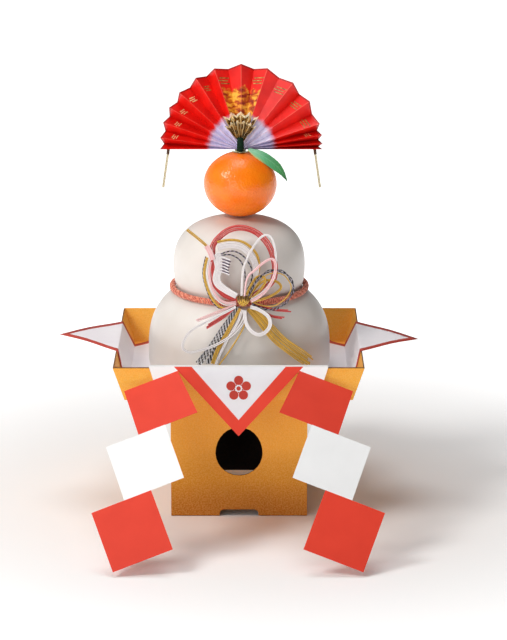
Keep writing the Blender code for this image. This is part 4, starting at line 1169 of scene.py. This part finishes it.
def build_crane(inks):
    """The crane: arcs of the back and wing, neck, head, beak and plume."""
    red, gold, dark, white, pink, feather_gap_shade = [inks[key] for key in (
        "red", "gold", "dark", "white", "pink", "feather_gap_shade")]
    run_cords("crane_back", lay(((-18, 189), (-18, 198), (-12, 205.5), (-4, 210), (5, 210), (14, 206),
              (21, 198), (25, 186), (24, 175), (17, 168), (9.5, 163.5)), 0),
              "red_cord", ("mizuhiki_red_arc",), red, Strands=4, Gap=1.1 * MM, Radius=0.5 * MM,
              Wobble=0.6 * MM, Seed=1)
    run_cords("crane_inner_red", lay(((-17.5, 189), (-18.5, 182), (-17.5, 175), (-15, 169.5),
              (-9.5, 164.5), (-1, 161.5)), 0.8), "red_cord", (), red, Strands=4, Gap=0.95 * MM,
              Radius=0.48 * MM, Wobble=0.8 * MM, Seed=2)
    run_cords("crane_neck", lay(((-2, 158), (-11, 156), (-17.5, 161), (-22, 170), (-24, 180),
              (-22, 190.5)), 1), "gold_cord", ("mizuhiki_neck",), gold, Strands=2,
              Gap=0.9 * MM, Radius=0.48 * MM, Start_Share=0.7)
    run_cords("crane_neck_dark", lay(((-2, 157), (-11.5, 155), (-18.5, 160), (-23, 170), (-25, 180),
              (-23, 191)), 0.6), "silver_cord", (), dark, Strands=1, Radius=0.45 * MM)
    run_cords("crane_neck_white", lay(((-2, 159), (-9, 158), (-15.5, 162), (-20, 170), (-22, 180),
              (-21, 189)), 1), "white_cord", (), white, Strands=1, Radius=0.48 * MM)
    run_cords("crane_neck_pink", lay(((-2, 160), (-8.5, 159.5), (-14.5, 163), (-19, 171), (-20.5, 180),
              (-19.5, 187.5)), 1), "pink_cord", (), pink, Strands=2, Gap=0.9 * MM,
              Radius=0.48 * MM)
    run_cords("crane_beak", lay(((-36, 209.5), (-29, 204), (-23, 199), (-19.5, 195)), 1), "gold_cord",
              ("mizuhiki_beak",), gold, Strands=2, Gap=1.05 * MM, Radius=0.48 * MM)
    run_cords("crane_head", lay(((-22.5, 199), (-20, 195), (-18, 189.5)), 2.6), "white_cord",
              ("mizuhiki_head",), pink, Strands=4, Gap=0.9 * MM, Radius=0.5 * MM)
    run_cords("wing_gold_arc", lay(((-15, 201), (-6, 202.5), (3, 201), (10, 196), (13.5, 190),
              (14, 182), (11, 174), (6.5, 166.5)), 1), "silver_cord",
              ("mizuhiki_wing",), gold, Strands=2, Gap=0.9 * MM, Radius=0.45 * MM)
    run_cords("wing_white_cords", lay(((-14.5, 197.5), (-6, 199), (2, 197.5), (8, 192.5), (11.5, 186.5),
              (12, 180), (9.5, 173), (5.5, 166.5)), 1.1), "silver_cord", (), white,
              Strands=5, Gap=0.85 * MM, Radius=0.45 * MM, Wobble=0.3 * MM, Seed=3)
    for name, route in (("wing_dark_arc", ((-12.5, 193), (-5, 195), (2, 192.5), (7.5, 186),
                                           (9.5, 178.5), (6, 167.5))),
                        ("wing_inner_arc", ((-12, 192), (-6, 192.5), (0, 189.5), (3.5, 184),
                                            (4.5, 177), (4, 166.5)))):
        run_cords(name, lay(route, 1.3), "silver_cord", (), dark, Strands=1, Radius=0.5 * MM)
    run_cords("plume_band", lay(((-1.5, 164.5), (-8, 168), (-14, 172.5), (-15.5, 177), (-14, 184),
              (-15, 190.5), (-12.5, 193)), 2), "white_cord", ("mizuhiki_plume",),
              white, Strands=6, Gap=0.88 * MM, Radius=0.48 * MM, Start_Share=0.75)
    for index in range(6):
        up = 191.0 - 2.0 * index
        tip = -7.6 + 0.5 * abs(index - 3)
        feather = [(-13.0, up), (-10.6, up + 0.1), (tip, up - 1.8)]
        run_cords("plume_feather_%d" % index, lay(feather, 2.5), "white_cord", (), white, Strands=2,
                  Gap=0.5 * MM, Radius=0.42 * MM)
        # dark cords drawn as painted shade in the gaps between the feathers
        if index < 5:
            gap_shade_route = [(-11.4, up - 1.1), (tip + 0.6, up - 2.8)]
            run_cords("plume_slit_%d" % index, lay(gap_shade_route, 2.7), "white_cord", (), feather_gap_shade, Strands=1,
                      Radius=0.4 * MM)


def build_loops(inks):
    """The loops of the bow."""
    gold, dark, white, pink = [inks[key] for key in ("gold", "dark", "white", "pink")]
    run_cords("white_loop_tall", lay(((2, 165.5), (3, 182), (6, 191), (10, 198.5), (15, 205), (20, 207),
              (24, 202.5), (26, 190), (24, 178), (18, 169), (8.5, 162.5)), 4),
              "white_cord", ("mizuhiki_white_loop",), white, Strands=2, Gap=0.8 * MM, Radius=0.45 * MM)
    run_cords("pink_loop_wide", lay(((4, 165.5), (6, 178), (12, 184), (18, 189), (23, 191), (25.5, 188),
              (25, 180), (20, 170.5), (14, 165), (8.5, 162)), 5), "pink_cord",
              ("mizuhiki_pink_loop",), pink, Strands=2, Gap=0.95 * MM, Start_Share=0.25,
              Radius=0.52 * MM)
    run_cords("silver_loop_twisted", lay(((7, 165), (10, 171.5), (14, 177), (20, 181.5), (27, 182.5),
              (33, 180), (37, 175), (38, 170), (36, 164.5), (31, 159), (25, 156), (18, 156),
              (9, 159.5)), 3), "silver_cord", ("mizuhiki_silver_loop",), dark,
              Strands=2, Gap=0.7 * MM, Lay=0.3 * MM, Pitch=9 * MM, Radius=0.42 * MM)
    run_cords("silver_loop_gold", lay(((7.5, 163.5), (11, 170), (15, 175.5), (20.5, 179.5), (27, 180.5),
              (32, 178.5), (35.5, 174), (36.5, 170), (34.5, 165.5), (30, 161), (24.5, 158), (18, 158),
              (9.5, 160.5)), 2.6), "gold_cord", (), gold, Strands=1, Radius=0.42 * MM)
    run_cords("gold_loop_long", lay(((7.5, 164.5), (12, 170.5), (18, 175), (26, 174.5), (29.5, 170.5),
              (25, 166), (17, 162.5), (9, 160.5)), 2), "gold_cord", ("mizuhiki_gold_loop",), gold,
              Strands=2, Gap=0.9 * MM, Radius=0.45 * MM)
    run_cords("gold_loop_inner", lay(((5.5, 165.5), (8.5, 172), (12.5, 177.5), (17, 178), (18.5, 174.5),
              (15, 169), (9, 163)), 2.6), "gold_cord", (), gold, Strands=2,
              Gap=0.9 * MM, Radius=0.45 * MM)
    run_cords("round_loop_white", lay(((8, 158), (14, 156), (20, 152), (22, 147), (20, 142), (15, 139),
              (10, 140.5), (6, 145), (4.5, 150), (4, 155.5)), 4), "white_cord",
              ("mizuhiki_round_loop",), white, Strands=3, Gap=0.85 * MM, Radius=0.5 * MM)
    run_cords("long_loop_white", lay(((4.5, 155.5), (3, 147.5), (-4, 139), (-14, 132.5), (-26, 128),
              (-34, 126.5), (-39, 129), (-38, 135), (-34, 140.5), (-28, 144.5), (-15, 151),
              (-2, 157.5)), 3), "white_cord", ("mizuhiki_long_loop",), white, Strands=2, Gap=0.9 * MM,
              Start_Share=1.6, Radius=0.46 * MM)


def build_tails(inks):
    """The cut ends below and beside the knot."""
    red, gold, silver, white, pink = [inks[key] for key in ("red", "gold", "silver", "white", "pink")]
    run_cords("red_tails_upper", lay(((9, 159.5), (16, 157), (24, 154.5), (37, 153.5)), 0),
              "red_cord", ("mizuhiki_red_tails",), red, Strands=2, Gap=1.0 * MM, Radius=0.48 * MM,
              Start_Share=0.6, Ragged=0.12, Seed=4)
    run_cords("red_tails_lower", lay(((9, 158.5), (15, 154.5), (23, 150), (33.5, 148.5)), 0),
              "red_cord", (), red, Strands=2, Gap=1.0 * MM, Radius=0.48 * MM, Start_Share=0.6,
              Ragged=0.12, Seed=5)
    run_cords("pink_tails_upper", lay(((-2, 159), (-16, 153), (-31, 147)), 2), "pink_cord",
              ("mizuhiki_pink_tails",), pink, Strands=2, Gap=1.1 * MM, Radius=0.46 * MM,
              Start_Share=0.5, Ragged=0.1, Seed=6)
    run_cords("red_tails_side", lay(((-3, 156.5), (-12, 149.5), (-23.5, 142.5)), 1.7), "pink_cord",
              (), red, Strands=3, Gap=0.95 * MM, Radius=0.46 * MM, Start_Share=0.5, Ragged=0.12, Seed=8)
    run_cords("gold_tail_fanned", lay(((7.5, 156.5), (15, 148.5), (29, 133.5), (50.5, 118.5)), 1),
              "gold_cord", ("mizuhiki_gold_tail",), gold, Strands=8, Gap=1.12 * MM, Radius=0.5 * MM,
              Start_Share=0.66, Wobble=1.0 * MM, Ragged=0.07, Seed=9)
    run_cords("gold_tails_down", lay(((1, 156), (-7.5, 140.5), (-15, 127), (-18.5, 117)), 2),
              "gold_cord", ("mizuhiki_gold_tails",), gold, Strands=3, Gap=0.95 * MM,
              Radius=0.48 * MM, Start_Share=0.6, Ragged=0.04, Seed=10)
    run_cords("white_tails_down", lay(((2.5, 155.5), (-1, 146), (-9, 133), (-16.5, 117)), 2.6),
              "gold_cord", (), white, Strands=2, Gap=0.9 * MM, Radius=0.46 * MM, Ragged=0.03, Seed=11)
    run_cords("bronze_tail_down", lay(((4, 155), (4, 145), (-4.5, 130), (-14, 117)), 2.2),
              "gold_cord", ("mizuhiki_bronze_tail",), gold, Strands=1, Radius=0.55 * MM)
    run_cords("silver_tails_outer", lay(((-0.5, 156.5), (-9.5, 143.5), (-18.5, 130), (-29, 117)), 1),
              "silver_cord", ("mizuhiki_silver_tails",), silver, Strands=4, Gap=1.15 * MM,
              Radius=0.46 * MM, Start_Share=0.6, Wobble=0.5 * MM, Ragged=0.03, Seed=12)
    run_cords("silver_tails_inner", lay(((-1, 154.5), (-8, 141), (-15, 128.5), (-22.5, 117)), 0.3),
              "silver_cord", ("mizuhiki_silver_tail_inner",), silver, Strands=3, Gap=1.0 * MM,
              Radius=0.5 * MM, Start_Share=0.6, Wobble=0.5 * MM, Ragged=0.04, Seed=13)


# ---------------------------------------------------------------- studio
def build_floor():
    # Seamless studio paper, near white; it glows with painted light that grows away from the object,
    # none close to it.
    made, tree, shader = material("seamless_studio_paper", "fcfcfc", 0.9, Specular_IOR_Level=0.1)
    far = add(tree, "ShaderNodeVectorMath", {"operation": "LENGTH"},
              {0: object_place(tree)}).outputs["Value"]
    shader.inputs["Emission Color"].default_value = (1, 1, 1, 1)
    # painted light: the floor glows more the farther it is from the object
    colour_link(tree, shader, band(tree, far, 0.08, 0.7, 0.0, 0.85), "Emission Strength")
    bm = bmesh.new()
    bmesh.ops.create_grid(bm, x_segments=1, y_segments=1, size=8)
    mesh = new_mesh("floor", bm)
    mesh.materials.append(made)
    floor = new_object("floor", mesh)
    floor.location.z = -GAP


def area_light(name, place, aim, size, power, colour="ffffff"):
    lamp = bpy.data.lights.new(name, "AREA")
    lamp.shape = "DISK"
    lamp.size = size
    lamp.energy = power
    lamp.color = linear(colour)[:3]
    item = new_object(name, lamp)
    item.location = place
    item.rotation_euler = (Vector(aim) - Vector(place)).to_track_quat("-Z", "Y").to_euler()


def build_studio():
    """Soft key light from the upper left front, a white surround that is dimmer on the right."""
    build_floor()
    middle = AXIS + Vector((0, 0, 0.15))
    area_light("key", middle + Vector((-1.17, -0.82, 1.4)), middle, 0.6, 16, "fffdfa")
    area_light("front", middle + Vector((-0.75, -1.9, 0.5)), middle, 1.0, 8.5)
    area_light("top", middle + Vector((-0.1, 0.1, 1.7)), middle, 0.9, 9.5)
    world = bpy.data.worlds.new("studio")
    bpy.context.scene.world = world
    world.use_nodes = True
    tree = world.node_tree
    direction = add(tree, "ShaderNodeSeparateXYZ", inputs={
        "Vector": add(tree, "ShaderNodeTexCoord").outputs["Generated"]}).outputs["X"]
    side = band(tree, direction, -0.8, 0.8, 0.38, 0.08)
    seen = add(tree, "ShaderNodeLightPath").outputs["Is Camera Ray"]
    surround = tree.nodes["Background"]
    surround.inputs["Color"].default_value = (1, 1, 1, 1)
    tree.links.new(calc(tree, "MAXIMUM", side, seen), surround.inputs["Strength"])
    bpy.context.scene.view_settings.view_transform = "Standard"


def build_camera():
    """At 14 degrees above the level, straight from the front; the object stands left of the middle."""
    elevation = math.radians(14)
    distance = 2.05
    target = Vector((0.0103, 0.02635, 0.132))
    camera = bpy.data.cameras.new("camera")
    camera.sensor_fit = "HORIZONTAL"
    camera.sensor_width = 36
    camera.lens = 202.15
    item = new_object("camera", camera)
    item.location = target + distance * Vector((0, -math.cos(elevation), math.sin(elevation)))
    item.rotation_euler = (math.radians(90) - elevation, 0, 0)
    bpy.context.scene.camera = item


# ---------------------------------------------------------------- everything in turn
CORDS = cord_tree()
cord_inks = {
    # rayon thread, dyed red: satin
    "red": cord_finish("red_rayon_wound_cord", "fa6e66", "b01a20", 0.8 * MM, 0.42, uneven=0.7),
    # gold film over paper: bright, warm metal
    "gold": cord_finish("gold_film_wound_cord", "ffce56", "96661a", 0.9 * MM, 0.32, uneven=0.4),
    # black thread and silver film wound together: the two alternate along the cord
    "silver": cord_finish("black_and_silver_wound_cord", "f2eff4", "16121a", 3.0 * MM, 0.34,
                          share=0.56, uneven=0.4),
    # black thread with a little silver film in it: satin
    "dark": cord_finish("black_thread_wound_cord", "a79fb0", "17131b", 3.0 * MM, 0.34,
                        share=0.72, uneven=0.4),
    # pearl-white thread: soft satin
    "white": cord_finish("pearl_thread_wound_cord", "fffbf8", "d9cfd2", 0.8 * MM, 0.4, uneven=0.35),
    # dark violet thread laid as painted shade in the gaps between the plume's feathers: dark satin
    "feather_gap_shade": cord_finish("violet_thread_wound_cord", "5c4468", "2a1c34", 0.8 * MM, 0.4),
    # pale pink thread: soft satin
    "pink": cord_finish("pink_thread_wound_cord", "ffe6e4", "eca6a8", 0.8 * MM, 0.4, uneven=0.5),
}
red_card = card_ink("coated_card_red", "e6432f", "e03f2c", 0.5)
white_card = card_ink("coated_card_white", "f6f6f6", "f2f2f2", 0.5)
# a greyer white for the middle of the V than for the arms
inner_card = card_ink("uncoated_card_white", "e9e8eb", "e2e1e5", 0.65)

build_stand(gold_card(), card_core(), drum_lining())
build_four_corner_paper(bordered_paper())
build_gohei_card((red_card, white_card, inner_card))
build_crest(card_ink("printed_crest_red", "c23f33", "b5382d", 0.55))
build_case(case_plastic())
build_orange(peel())
build_calyx(plain_skin("dried_calyx", "c8c49a", "8f9a68", 1.2 * MM, 0.7))
build_stem(plain_skin("florists_tape", "0c3018", "04120a", 0.9 * MM, 0.75, Specular_IOR_Level=0.15))
build_leaf(leaf_skin())
build_fan(fan_paper())
build_fan_prints(plain_skin("cream_gold_print", "fbe9b4", "ecc070", 1 * MM, 0.4),
                 plain_skin("bronze_print", "cf9c50", "6e3c12", 1.6 * MM, 0.4))
build_foil(creased_foil())
build_rope(rope_fibre())
build_fan_cords(cord_finish("pale_gold_wound_cord", "f6ecc8", "a08c58", 0.9 * MM, 0.34, uneven=0.4),
                plain_skin("dark_tie_thread", "5a3c20", "2c1a0c", 1 * MM, 0.7))
build_knot(cord_inks["gold"])
build_crane(cord_inks)
build_loops(cord_inks)
build_tails(cord_inks)
build_studio()
build_camera()
